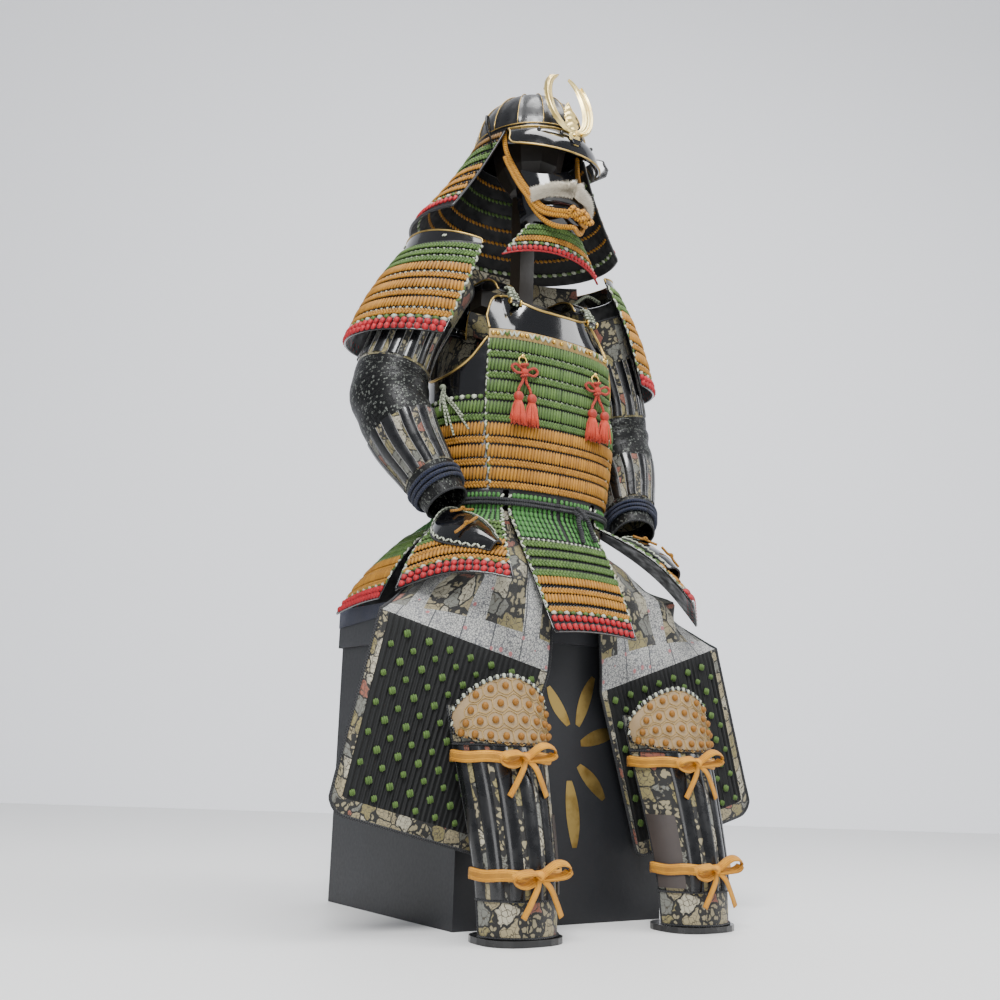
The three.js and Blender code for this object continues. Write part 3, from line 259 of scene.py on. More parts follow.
# One stitch of lacing: a long rounded grain of 16 faces, from which every lace row is laid
grain = [(0, -1, 0)] + [(r * cosD(a), y, r * sinD(a)) for y, r in ((-0.72, 0.8), (0, 1), (0.72, 0.8))
                        for a in (0, 90, 180, 270)] + [(0, 1, 0)]
grainFaces = [(0, 1 + (k + 1) % 4, 1 + k) for k in range(4)]
for ringStart in (1, 5):
    grainFaces += [(ringStart + k, ringStart + (k + 1) % 4, ringStart + 4 + (k + 1) % 4,
        ringStart + 4 + k) for k in range(4)]
grainFaces += [(13, 9 + k, 9 + (k + 1) % 4) for k in range(4)]


# grains: (place, half width, half length, half thickness as vectors, finish number, tint)
def grainPiece(name, grains, materials):
    spots, faces, finishes, tints = [], [], [], []
    for place, side, long, rise, finish, tint in grains:
        start = len(spots)
        turned = side.cross(long).dot(rise) < 0
        for x, y, z in grain:
            spots.append(place + side * x + long * y + rise * z)
        for face in grainFaces:
            ids = [start + i for i in face]
            faces.append(ids[::-1] if turned else ids)
        finishes += [finish] * len(grainFaces)
        tints += [tint] * len(grain)
    return meshPiece(name, spots, faces, materials, finishes, tints)


# Rings carried along a way without twisting; wide lies across it and thick stands off what it lies on
def tubeParts(way, wide, thick, sides, up=None, taper=None, ridge=0.0, pitch=9.0, closed=False):
    n = len(way)
    spots, faces, uvs = [], [], []
    rise = None
    run = 0.0
    for i, p in enumerate(way):
        if closed:
            along = (way[(i + 1) % n] - way[i - 1]).normalized()
        else:
            along = (way[min(n - 1, i + 1)] - way[max(0, i - 1)]).normalized()
        if up:
            rise = up(p)
        elif rise is None:
            rise = along.orthogonal()
        rise = (rise - along * rise.dot(along)).normalized()
        side = along.cross(rise)
        grow = taper(i / (n - 1)) if taper else 1
        if i:
            run += (p - way[i - 1]).length
        for k in range(sides):
            a = 2 * math.pi * (k + 0.5) / sides
            turn = 2 * math.pi * run / pitch
            swell = 1 + ridge * max(math.sin(2 * a + turn), math.sin(2 * a - turn)) if ridge else 1
            spots.append(p + side * (math.cos(a) * wide / 2 * grow * swell)
                + rise * (math.sin(a) * thick / 2 * grow * swell))
            uvs.append((k / sides, run * 0.001))
    rings = n if closed else n - 1
    for i in range(rings):
        for k in range(sides):
            a, b = i * sides + k, i * sides + (k + 1) % sides
            c, d = (i + 1) % n * sides + (k + 1) % sides, (i + 1) % n * sides + k
            faces.append((a, b, c, d))
    if not closed:
        faces.append(tuple(range(sides))[::-1])
        faces.append(tuple((n - 1) * sides + k for k in range(sides)))
    return spots, faces, uvs


def tubePiece(name, ways, wide, thick=None, sides=8, material=None, **more):
    spots, faces, uvs = [], [], []
    for way in ways:
        partSpots, partFaces, partUvs = tubeParts(way, wide, thick or wide, sides, **more)
        start = len(spots)
        spots += partSpots
        uvs += partUvs
        faces += [tuple(start + i for i in face) for face in partFaces]
    return meshPiece(name, spots, faces, [material] if material else None, uvs=uvs)


def joinedPieces(name, pieces):
    deselectAll()
    for piece in pieces:
        piece.select_set(True)
    bpy.context.view_layer.objects.active = pieces[0]
    bpy.ops.object.join()
    pieces[0].name = name
    pieces[0].data.name = name
    return pieces[0]


# A rounded knot or stud: a round primitive squeezed to its size
def knob(name, place, radii, material, around=12, rings=8):
    deselectAll()
    bpy.ops.mesh.primitive_uv_sphere_add(segments=around, ring_count=rings, radius=1)
    piece = bpy.context.object
    piece.name = name
    for corner in piece.data.vertices:
        corner.co = Vector([(c * r + p) * 0.001 for c, r, p in zip(corner.co, radii, place)])
    piece.data.polygons.foreach_set("use_smooth", [True] * len(piece.data.polygons))
    piece.data.materials.append(material)
    return piece


def dress(piece, material=None, replaced=(), body="suit"):
    if material is not None:
        piece.data.materials.clear()
        piece.data.materials.append(material)
    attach(piece, body)
    if replaced:
        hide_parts(*replaced)
    return piece


# A cord hangs or is pulled taut along its own line, all of it limp silk or cotton; this only works out its length
# and keeps nothing
def declareCord(line):
    wayLength(line) * 0.001


# Paints the faces whose middle the test picks with one of the piece's own finishes
def paintFaces(piece, number, test):
    share = piece.data.uv_layers["share"].data
    for face in piece.data.polygons:
        u = sum(share[i].uv[0] for i in face.loop_indices) / face.loop_total
        v = sum(share[i].uv[1] for i in face.loop_indices) / face.loop_total
        if test(u, v):
            face.material_index = number


sides = (("right", -1), ("left", 1))


# Materials


def hexColour(text):
    parts = [int(text[i:i + 2], 16) / 255 for i in (1, 3, 5)]
    return tuple(c / 12.92 if c <= 0.04045 else ((c + 0.055) / 1.055) ** 2.4 for c in parts) + (1.0,)


def addNode(tree, kind, inputs=None, **settings):
    made = tree.nodes.new("ShaderNode" + kind)
    for key, value in settings.items():
        setattr(made, key, value)
    for key, value in (inputs or {}).items():
        if isinstance(value, bpy.types.NodeSocket):
            tree.links.new(value, made.inputs[key])
        else:
            made.inputs[key].default_value = value
    return made


def newFinish(name, roughness=0.5, **sockets):
    finish = bpy.data.materials.new(name)
    finish.use_nodes = True
    tree = finish.node_tree
    shader = tree.nodes["Principled BSDF"]
    shader.inputs["Roughness"].default_value = roughness
    for key, value in sockets.items():
        shader.inputs[key.replace("_", " ")].default_value = value
    return finish, tree, shader


def mixed(tree, share, a, b, blend="MIX"):
    made = addNode(tree, "Mix", data_type="RGBA", blend_type=blend)
    for key, value in ((0, share), (6, a), (7, b)):
        if isinstance(value, bpy.types.NodeSocket):
            tree.links.new(value, made.inputs[key])
        else:
            made.inputs[key].default_value = value
    return made.outputs[2]


def sums(tree, operation, a, b=0.0, c=0.0):
    return addNode(tree, "Math", {0: a, 1: b, 2: c}, operation=operation).outputs[0]


# Rises from 0 to 1 as the value goes from low to high
def rampOf(tree, value, low, high):
    return addNode(tree, "MapRange", {"Value": value, "From Min": low, "From Max": high}).outputs[0]


def cloudOf(tree, spot, scale, detail):
    return addNode(tree, "TexNoise", {"Vector": spot, "Scale": scale, "Detail": detail}).outputs["Fac"]


def painted(tree, shader, colour):
    tree.links.new(colour, shader.inputs["Base Color"])


def bandOf(tree, value, low, high, soft=0.02):
    rise = rampOf(tree, value, low - soft, low + soft)
    fall = rampOf(tree, value, high - soft, high + soft)
    return sums(tree, "SUBTRACT", rise, fall)


def placeOf(tree, layer=None, scale=None):
    if layer:
        spot = addNode(tree, "UVMap", uv_map=layer).outputs[0]
    else:
        spot = addNode(tree, "TexCoord").outputs["Object"]
    if scale:
        spot = addNode(tree, "Mapping", {"Vector": spot, "Scale": scale}).outputs[0]
    return spot


def bumped(tree, shader, height, distance, strength=1.0):
    bump = addNode(tree, "Bump", {"Height": height, "Distance": distance, "Strength": strength})
    tree.links.new(bump.outputs[0], shader.inputs["Normal"])


# Urushi lacquer, polished: near black, wet gloss, with the faint orange peel that many coats leave
def lacquerFinish(name, colour, roughness, coat, peel):
    finish, tree, shader = newFinish(name, roughness, Coat_Weight=coat, Coat_Roughness=0.06)
    spot = placeOf(tree)
    cloud = cloudOf(tree, spot, 18.0, 3.0)
    painted(tree, shader, mixed(tree, cloud, hexColour(colour), hexColour("#0e0e10")))
    dust = cloudOf(tree, spot, 55.0, 4.0)
    worn = addNode(tree, "MapRange", {"Value": dust, "From Min": 0.35, "From Max": 0.8,
                                      "To Min": roughness * 0.8, "To Max": roughness * 1.9}).outputs[0]
    tree.links.new(worn, shader.inputs["Roughness"])
    grit = cloudOf(tree, spot, 260.0, 2.0)
    bumped(tree, shader, grit, peel)
    return finish


# Flat braided silk lace: soft sheen, each stitch a little lighter or darker than the next
def laceFinish(name, dark, light, sheen=0.08):
    finish, tree, shader = newFinish(name, 0.62, Sheen_Weight=sheen, Sheen_Roughness=0.4)
    tint = addNode(tree, "Attribute", attribute_name="tint").outputs["Fac"]
    spot = placeOf(tree)
    fibre = cloudOf(tree, spot, 420.0, 3.0)
    faded = cloudOf(tree, spot, 9.0, 2.0)
    share = sums(tree, "ADD", sums(tree, "MULTIPLY", tint, 0.5), sums(tree, "MULTIPLY", fibre, 0.35))
    colour = mixed(tree, share, hexColour(dark), hexColour(light))
    worn = mixed(tree, sums(tree, "MULTIPLY", faded, 0.2), colour, hexColour("#565243"), "SOFT_LIGHT")
    painted(tree, shader, worn)
    bumped(tree, shader, fibre, 0.0006)
    return finish


# Round braided cord: two sets of strands over each other, 4.5 mm apart along the cord, with painted shade darker in
# the grooves between strands and painted highlight lighter on their crests
def cordFinish(name, dark, light, pitch=0.0045):
    finish, tree, shader = newFinish(name, 0.66, Sheen_Weight=0.08, Sheen_Roughness=0.45)
    real = placeOf(tree, "real")
    parts = addNode(tree, "SeparateXYZ", {0: real})
    turn = sums(tree, "MULTIPLY", parts.outputs[0], 2 * math.pi * 2)
    run = sums(tree, "MULTIPLY", parts.outputs[1], 2 * math.pi / pitch)
    one = sums(tree, "SINE", sums(tree, "ADD", run, turn))
    other = sums(tree, "SINE", sums(tree, "SUBTRACT", run, turn))
    weave = sums(tree, "MAXIMUM", one, other)
    # painted shade and highlight: the colour runs from dark in the grooves between the strands to light on their
    # crests
    share = rampOf(tree, weave, -0.6, 1.0)
    fibre = cloudOf(tree, placeOf(tree), 500.0, 2.0)
    colour = mixed(tree, share, hexColour(dark), hexColour(light))
    painted(tree, shader, mixed(tree, sums(tree, "MULTIPLY", fibre, 0.3), colour, hexColour(dark)))
    bumped(tree, shader, weave, 0.0011)
    return finish


# Woven flat tape: 14 lengthwise ribs round it with a soft sheen, and painted shade a little darker between the ribs
# and picks
def tapeFinish(name, dark, light):
    finish, tree, shader = newFinish(name, 0.7, Sheen_Weight=0.08)
    real = placeOf(tree, "real", (1.0, 1.0, 1.0))
    parts = addNode(tree, "SeparateXYZ", {0: real})
    rib = sums(tree, "SINE", sums(tree, "MULTIPLY", parts.outputs[0], 2 * math.pi * 14))
    pick = sums(tree, "SINE", sums(tree, "MULTIPLY", parts.outputs[1], 2 * math.pi / 0.0022))
    weave = sums(tree, "ADD", sums(tree, "MULTIPLY", rib, 0.7), sums(tree, "MULTIPLY", pick, 0.3))
    cloud = cloudOf(tree, placeOf(tree), 60.0, 3.0)
    # painted shade: the colour is a little darker between the ribs and picks and lighter on them, over a random
    # cloud
    share = sums(tree, "ADD", sums(tree, "MULTIPLY", weave, 0.22), cloud)
    painted(tree, shader, mixed(tree, share, hexColour(dark), hexColour(light)))
    bumped(tree, shader, weave, 0.0005)
    return finish


# Gilt metal: warm gold leaf over copper, softly worn, with brown where the gilding is thin
def giltFinish(name, bright, thin, roughness):
    finish, tree, shader = newFinish(name, roughness, Metallic=1.0)
    spot = placeOf(tree)
    cloud = cloudOf(tree, spot, 35.0, 4.0)
    share = rampOf(tree, cloud, 0.45, 0.75)
    painted(tree, shader, mixed(tree, share, hexColour(bright), hexColour(thin)))
    scratch = cloudOf(tree, spot, 240.0, 3.0)
    tree.links.new(sums(tree, "MULTIPLY_ADD", scratch, 0.22, roughness - 0.1), shader.inputs["Roughness"])
    bumped(tree, shader, scratch, 0.0002)
    return finish


# Brocade: flowers about 35 mm across in muted threads, outlined in black, with small leaves between them
def brocadeParts(tree, spot, flower=0.036):
    wave = addNode(tree, "TexNoise", {"Vector": spot, "Scale": 70.0, "Detail": 2.0}).outputs["Color"]
    shifted = mixed(tree, 0.014, spot, wave, "ADD")
    heads = addNode(tree, "TexVoronoi", {"Vector": shifted, "Scale": 1 / flower, "Randomness": 0.9})
    gap = addNode(tree, "TexVoronoi", {"Vector": shifted, "Scale": 1 / flower, "Randomness": 0.9},
                  feature="DISTANCE_TO_EDGE").outputs["Distance"]
    fill = rampOf(tree, gap, 0.035, 0.06)
    picks = addNode(tree, "SeparateColor", {0: heads.outputs["Color"]})
    ramp = addNode(tree, "ValToRGB", {0: picks.outputs[0]})
    ramp.color_ramp.interpolation = "CONSTANT"
    shades = ((0.0, "#958a6a"), (0.22, "#6f7068"), (0.42, "#8a5241"), (0.54, "#847a4f"), (0.76, "#aaa48f"))
    while len(ramp.color_ramp.elements) < len(shades):
        ramp.color_ramp.elements.new(0.5)
    for element, (at, shade) in zip(ramp.color_ramp.elements, shades):
        element.position = at
        element.color = hexColour(shade)
    petals = addNode(tree, "TexVoronoi", {"Vector": shifted, "Scale": 3.6 / flower},
                     feature="DISTANCE_TO_EDGE").outputs["Distance"]
    line = rampOf(tree, petals, 0.015, 0.06)
    small = addNode(tree, "TexVoronoi", {"Vector": shifted, "Scale": 3.2 / flower, "Randomness": 1.0})
    leaf = rampOf(tree, small.outputs["Distance"], 0.5, 0.42)
    leaves = mixed(tree, leaf, hexColour("#100f0d"), hexColour("#8b8266"))
    body = mixed(tree, line, hexColour("#3d3628"), ramp.outputs[0])
    head = sums(tree, "MULTIPLY", fill, sums(tree, "LESS_THAN", picks.outputs[1], 0.72))
    ground = mixed(tree, fill, hexColour("#100f0d"), leaves)
    colour = mixed(tree, head, ground, body)
    return colour, head, line


def weaveOf(tree, layer, pitch=0.0011):
    parts = addNode(tree, "SeparateXYZ", {0: placeOf(tree, layer)})
    warp = sums(tree, "SINE", sums(tree, "MULTIPLY", parts.outputs[0], 2 * math.pi / pitch))
    weft = sums(tree, "SINE", sums(tree, "MULTIPLY", parts.outputs[1], 2 * math.pi / pitch))
    return sums(tree, "MULTIPLY", warp, weft)


def brocadeFinish(name, flower=0.034):
    finish, tree, shader = newFinish(name, 0.68, Sheen_Weight=0.2)
    spot = placeOf(tree, "real")
    colour, head, line = brocadeParts(tree, spot, flower)
    painted(tree, shader, colour)
    height = sums(tree, "ADD", sums(tree, "MULTIPLY", sums(tree, "MULTIPLY", head, line), 1.0),
                  sums(tree, "MULTIPLY", weaveOf(tree, "real"), 0.15))
    bumped(tree, shader, height, 0.0007)
    return finish


# Silver brocade ribbon: pale metal thread with fine dark scrolls in frames and small red flowers
def silverParts(tree, spot, frameWide=0.062):
    cells = addNode(tree, "TexVoronoi", {"Vector": spot, "Scale": 210.0},
        feature="DISTANCE_TO_EDGE").outputs["Distance"]
    scroll = rampOf(tree, cells, 0.05, 0.12)
    big = addNode(tree, "TexVoronoi", {"Vector": spot, "Scale": 62.0})
    pick = addNode(tree, "SeparateColor", {0: big.outputs["Color"]}).outputs[1]
    red = sums(tree, "MULTIPLY", sums(tree, "GREATER_THAN", pick, 0.72),
        sums(tree, "LESS_THAN", big.outputs["Distance"], 0.24))
    rings = bandOf(tree, big.outputs["Distance"], 0.34, 0.4, 0.015)
    parts = addNode(tree, "SeparateXYZ", {0: spot})
    across = addNode(tree, "Math", {0: parts.outputs[0], 1: frameWide},
        operation="FLOORED_MODULO").outputs[0]
    edge = bandOf(tree, across, 0.002, 0.0045, 0.0005)
    silver = mixed(tree, scroll, hexColour("#616266"), hexColour("#bbbbb6"))
    ringed = mixed(tree, rings, silver, hexColour("#77787c"))
    framed = mixed(tree, edge, ringed, hexColour("#3c3d42"))
    return mixed(tree, red, framed, hexColour("#b06a6c")), scroll


def silverFinish(name):
    finish, tree, shader = newFinish(name, 0.55, Sheen_Weight=0.2)
    colour, scroll = silverParts(tree, placeOf(tree, "real"))
    painted(tree, shader, colour)
    bumped(tree, shader, sums(tree, "ADD", scroll, sums(tree, "MULTIPLY", weaveOf(tree, "real"), 0.2)),
        0.0005)
    return finish


# Brocade apron crossed by silver ribbons about 45 mm wide that run down it
def apronFinish(name, ribbons):
    finish, tree, shader = newFinish(name, 0.64, Sheen_Weight=0.2)
    spot = placeOf(tree, "real")
    flowers, head, line = brocadeParts(tree, spot, 0.038)
    silver = silverParts(tree, spot)[0]
    share = addNode(tree, "SeparateXYZ", {0: placeOf(tree, "share")})
    u = share.outputs[0]
    strip = 0.0
    for start, end in ribbons:
        strip = sums(tree, "ADD", bandOf(tree, u, start, end, 0.002), strip)
    painted(tree, shader, mixed(tree, strip, flowers, silver))
    height = sums(tree, "ADD", sums(tree, "MULTIPLY", head, line),
        sums(tree, "MULTIPLY", weaveOf(tree, "real"), 0.15))
    bumped(tree, shader, height, 0.0007)
    return finish


# Black silk with iron mail sewn on it: 5 mm rings, of which a random share carry a painted grey glint round the ring
def mailFinish(name):
    finish, tree, shader = newFinish(name, 0.45, Metallic=0.35)
    spot = placeOf(tree, "real")
    rings = addNode(tree, "TexVoronoi", {"Vector": spot, "Scale": 190.0, "Randomness": 0.7})
    ring = bandOf(tree, rings.outputs["Distance"], 0.24, 0.46, 0.05)
    pick = addNode(tree, "SeparateColor", {0: rings.outputs["Color"]}).outputs[0]
    # painted glint: a random share of the rings is painted grey, the rest stay as black as the silk
    lit = sums(tree, "MULTIPLY", ring, sums(tree, "GREATER_THAN", pick, 0.62))
    painted(tree, shader, mixed(tree, lit, hexColour("#08090a"), hexColour("#6b6f69")))
    bumped(tree, shader, ring, 0.0012)
    return finish


# Black silk gauze field with narrow cords under it, as ribs 10 mm apart, with painted shade a little darker between
# the ribs and lighter on them
def ribFinish(name):
    finish, tree, shader = newFinish(name, 0.8)
    spot = placeOf(tree, "real")
    parts = addNode(tree, "SeparateXYZ", {0: spot})
    rib = sums(tree, "SINE", sums(tree, "MULTIPLY", parts.outputs[0], 2 * math.pi / 0.0105))
    fibre = cloudOf(tree, spot, 300.0, 3.0)
    # painted shade: the colour is a little lighter on the ribs and darker between them, with fine fibre noise
    share = sums(tree, "MULTIPLY_ADD", rib, 0.35, fibre)
    painted(tree, shader, mixed(tree, share, hexColour("#050606"), hexColour("#101213")))
    bumped(tree, shader, rib, 0.0018)
    return finish


# Vegetable-tanned hide: matt, fine grain about 1.4 mm, in a mottle of darker and lighter tones
def leatherFinish(name, dark, light, roughness=0.62):
    finish, tree, shader = newFinish(name, roughness)
    spot = placeOf(tree)
    grainy = addNode(tree, "TexVoronoi", {"Vector": spot, "Scale": 700.0},
        feature="DISTANCE_TO_EDGE").outputs["Distance"]
    cloud = cloudOf(tree, spot, 30.0, 5.0)
    painted(tree, shader, mixed(tree, cloud, hexColour(dark), hexColour(light)))
    bumped(tree, shader, grainy, 0.0004)
    return finish


# Painted board: charcoal lacquer paint, satin, with lighter rubbed patches in a broad random mottle
def boardFinish(name, colour, worn):
    finish, tree, shader = newFinish(name, 0.5)
    spot = placeOf(tree)
    cloud = cloudOf(tree, spot, 6.0, 6.0)
    share = rampOf(tree, cloud, 0.3, 0.8)
    painted(tree, shader, mixed(tree, share, hexColour(colour), hexColour(worn)))
    fine = cloudOf(tree, spot, 160.0, 3.0)
    tree.links.new(sums(tree, "MULTIPLY_ADD", fine, 0.2, 0.38), shader.inputs["Roughness"])
    bumped(tree, shader, fine, 0.0002)
    return finish


# Plain cotton cloth dyed indigo: matt, with a 1.2 mm weave
def cottonFinish(name, dark, light):
    finish, tree, shader = newFinish(name, 0.9, Sheen_Weight=0.2)
    weave = weaveOf(tree, "real", 0.0012)
    cloud = cloudOf(tree, placeOf(tree), 25.0, 5.0)
    painted(tree, shader, mixed(tree, cloud, hexColour(dark), hexColour(light)))
    bumped(tree, shader, weave, 0.0003)
    return finish


# Bleached fur: cream strands with painted shade darker at the root, each strand its own shade
def furFinish(name):
    finish, tree, shader = newFinish(name, 0.75, Sheen_Weight=0.3)
    tint = addNode(tree, "Attribute", attribute_name="tint").outputs["Fac"]
    painted(tree, shader, mixed(tree, tint, hexColour("#a89a7c"), hexColour("#f6efdf")))
    return finish


finishes = {
    "gloss": lacquerFinish("urushi_polished_black", "#08080a", 0.1, 0.7, 0.00004),
    "satin": lacquerFinish("urushi_satin_black", "#0c0c0e", 0.3, 0.25, 0.00012),
    "splint": lacquerFinish("iron_splint_black_lacquer", "#0e0f11", 0.24, 0.4, 0.0001),
    "edge": lacquerFinish("urushi_edge_dark_grey", "#2a2a2e", 0.35, 0.3, 0.0001),
    "laced": lacquerFinish("urushi_under_lacing", "#050506", 0.5, 0.0, 0.0001),
    "green": laceFinish("silk_lace_green", "#213f0f", "#68883a"),
    "leafGreen": laceFinish("silk_lace_bright_green", "#1f5a1e", "#5a9c48"),
    "ochre": laceFinish("silk_lace_ochre", "#754808", "#d09522"),
    "brown": laceFinish("silk_lace_brown", "#4a3212", "#93691f"),
    "white": laceFinish("silk_lace_white", "#8d9482", "#d9decb"),
    "red": laceFinish("silk_lace_red", "#860a14", "#cf1d2a"),
    "ochreCord": cordFinish("braided_silk_cord_ochre", "#7a4a05", "#d9971a"),
    "navyCord": cordFinish("braided_cotton_cord_navy", "#070a14", "#1c2748"),
    "blackCord": cordFinish("braided_cotton_cord_black", "#08090b", "#23252a"),
    "paleCord": cordFinish("twisted_silk_cord_pale_green", "#4d5945", "#b9bfa6", 0.007),
    "redCord": cordFinish("braided_silk_cord_red", "#861a0c", "#d6442a", 0.003),
    "redSilk": laceFinish("silk_tassel_red", "#8c1c0c", "#e04f2c", 0.15),
    "ochreTape": tapeFinish("woven_cotton_tape_ochre", "#a86808", "#e9a41c"),
    "gilt": giltFinish("gilt_copper", "#e2c069", "#a97f3c", 0.3),
    "sheetGold": giltFinish("gilt_sheet_bright", "#f4dd98", "#d3b264", 0.36),
    "goldPaint": giltFinish("gold_lacquer_line", "#c4a765", "#94763b", 0.42),
    "brocade": brocadeFinish("silk_brocade_flowers"),
    "brocadeFine": brocadeFinish("silk_brocade_narrow", 0.024),
    "silver": silverFinish("silk_brocade_silver"),
    "mail": mailFinish("mail_on_black_silk"),
    "ribs": ribFinish("black_silk_over_ribs"),
    "tan": leatherFinish("tanned_hide_pale", "#7d6747", "#a78f6c"),
    "stamped": leatherFinish("stamped_hide_gold_brown", "#7a5f33", "#c0a062"),
    "brownHide": leatherFinish("tanned_hide_dark_brown", "#2c2624", "#453c38", 0.5),
    "board": boardFinish("painted_board_charcoal", "#17181b", "#212226"),
    "boardLid": boardFinish("painted_board_charcoal_lid", "#202125", "#2c2d31"),
    "wood": boardFinish("stained_wood_stand", "#17130f", "#2b231b"),
    "indigo": cottonFinish("cotton_indigo", "#0d1226", "#20294a"),
    "fur": furFinish("bleached_fur"),
    "lip": lacquerFinish("lacquer_dark_red", "#5c1410", 0.2, 0.5, 0.00003),
}
print("finishes made:", len(finishes))


# Torso section: a boxy oval, angle 0 in front and 90 at the armour's left
torso = [(742, 170, -179, 63), (800, 180, -181, 68), (865, 189, -182, 73), (940, 189, -181, 77),
         (1036, 183, -178, 78), (1130, 172, -168, 70), (1230, 150, -140, 46)]


def oval(angle, halfWidth, front, back, fullness=2.4):
    def power(value):
        return math.copysign(abs(value) ** (2 / fullness), value)
    middle = (front + back) / 2
    return halfWidth * power(sinD(angle)), middle - (back - front) * 0.5 * power(cosD(angle))


def torsoPoint(angle, z):
    x, y = oval(angle, readTable(torso, 1, z), readTable(torso, 2, z), readTable(torso, 3, z))
    return Vector((x, y, z))


def fromTorso(p):
    return Vector((p[0], p[1] + 55, 0))


# One row of lacing along a surface: upright stitches, a chevron braid, dots or blocks
def laceRow(grains, point, away, start, end, v, high, pitch, finish, lift=3.0, slant=0.12, depth=2.6,
            duv=(0.01, 0.01), kind="upright", other=None):
    count = 60
    marks = [start + (end - start) * i / count for i in range(count + 1)]
    spots = [point(u, v) for u in marks]
    run = [0.0]
    for a, b in zip(spots, spots[1:]):
        run.append(run[-1] + (b - a).length)
    total = max(2, round(run[-1] / pitch))
    k = 1
    for i in range(total):
        at = run[-1] * (i + 0.5) / total
        while k < count and run[k] < at:
            k += 1
        t = (at - run[k - 1]) / max(1e-9, run[k] - run[k - 1])
        u = lerp(marks[k - 1], marks[k], t)
        place = point(u, v)
        n = normalAt(point, away, u, v, *duv)
        along = (point(u + duv[0], v) - point(u - duv[0], v)).normalized()
        down = n.cross(along).normalized()
        tint = 0.25 + 0.5 * random.random()
        step = run[-1] / total
        shade = finish if other is None or i % 2 == 0 else other
        if kind == "upright":
            long = (down + along * slant).normalized()
            side = n.cross(long).normalized()
            grains.append((place + n * (lift - depth * 0.4), side * (step * 0.56), long * (high * 0.54),
                n * depth, shade, tint))
        elif kind == "braid":
            for turn in (-1, 1):
                long = (down + along * 0.75 * turn).normalized()
                side = n.cross(long).normalized()
                spot = place + down * (turn * high * 0.2) + along * (step * 0.25
                    * turn) + n * (lift - depth * 0.4)
                grains.append((spot, side * (step * 0.5), long * (high * 0.36), n * depth, shade, tint))
        else:
            grains.append((place + n * (lift - depth * 0.5), along * (step * 0.48), down * (high * 0.5),
                n * depth, shade, tint))


# Rows one under another. Each has its distance in from the sides, place down the panel, height, pitch, colour,
# lift off the panel and thickness, and last what else sets it apart.
def laceRows(grains, point, away, duv, start, end, rows):
    for inset, v, high, pitch, shade, lift, depth, more in rows:
        laceRow(grains, point, away, start + inset, end - inset, v, high, pitch, shade, lift=lift,
            depth=depth, duv=duv, **more)


# Lacing over a panel's edge: white and green by turns, leaning over it
def edgeLacing(grains, point, away, u, start, end, pitch, duv, shades=(2, 0), size=(2.6, 5.2, 1.9),
    lift=1.5):
    way = [point(u, lerp(start, end, i / 40)) for i in range(41)]
    run = [0.0]
    for a, b in zip(way, way[1:]):
        run.append(run[-1] + (b - a).length)
    total = max(2, round(run[-1] / pitch))
    k = 1
    for i in range(total):
        at = run[-1] * (i + 0.5) / total
        while k < 40 and run[k] < at:
            k += 1
        v = lerp(start, end, (k - 1 + (at - run[k - 1]) / max(1e-9, run[k] - run[k - 1])) / 40)
        place = point(u, v)
        n = normalAt(point, away, u, v, *duv)
        down = (point(u, v + duv[1]) - point(u, v - duv[1])).normalized()
        across = n.cross(down).normalized()
        lean = 0.7 if i % 2 else -0.7
        long = (down + across * lean).normalized()
        side = n.cross(long).normalized()
        grains.append((place + n * lift, side * size[0], long * size[1], n * size[2],
            shades[i % 3 == 2], 0.3 + 0.6 * random.random()))


laceFinishes = [finishes[key] for key in ("green", "ochre", "white", "red", "leafGreen", "brown", "gloss")]
green, ochre, white, red, leafGreen, brown, dark = range(7)

# Cuirass: 7 laced plates, 4 green and 3 ochre, each a tall row of stitches over a narrow braid
cuirass = {"bottom": 742, "top": 1027.7, "plates": 7, "seam": 47, "sidePlates": 4, "wall": 2.5,
    "stitch": 6.3, "braid": 6.0}
platePitch = (cuirass["top"] - cuirass["bottom"]) / cuirass["plates"]
sideLaced = cuirass["bottom"] + cuirass["sidePlates"] * platePitch
armhole = [(47, 1030), (60, 988), (75, 966), (90, 960), (105, 966), (120, 988), (133, 1030)]
backEdge = [(0, 1222), (14, 1218), (23, 1196), (35, 1130), (47, 1035)]


def cuirassLacing(name, start, end, plates, edges=()):
    grains = []
    duv = (0.4, 1.5)
    for plate in range(plates):
        low = cuirass["bottom"] + plate * platePitch
        shade = ochre if plate < 3 else green
        top = low + platePitch
        laceRow(grains, torsoPoint, fromTorso, start, end, low + platePitch * 0.69, platePitch * 0.58,
            cuirass["stitch"], shade,
                lift=3.6, duv=duv)
        laceRow(grains, torsoPoint, fromTorso, start, end, low + platePitch * 0.2, platePitch * 0.31,
            cuirass["braid"], shade,
                lift=3.2, duv=duv, kind="braid", depth=2.2)
        laceRow(grains, torsoPoint, fromTorso, start, end, low + platePitch * 0.375, 3.0, 6.3,
            white if plate > 3 else dark,
                lift=0.9, duv=duv, slant=0.5, depth=1.0, other=dark)
        for angle in edges:
            laceRow(grains, torsoPoint, fromTorso, angle - 1.2, angle + 1.2, top - 6, 10, 4.2, white,
                lift=3.4, duv=duv,
                    kind="dots", other=green)
    for angle in edges:
        edgeLacing(grains, torsoPoint, fromTorso, angle, cuirass["bottom"] + 3,
            cuirass["bottom"] + plates * platePitch - 2, 7.4, duv)
    piece = grainPiece(name, grains, laceFinishes)
    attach(piece, "suit")
    return piece


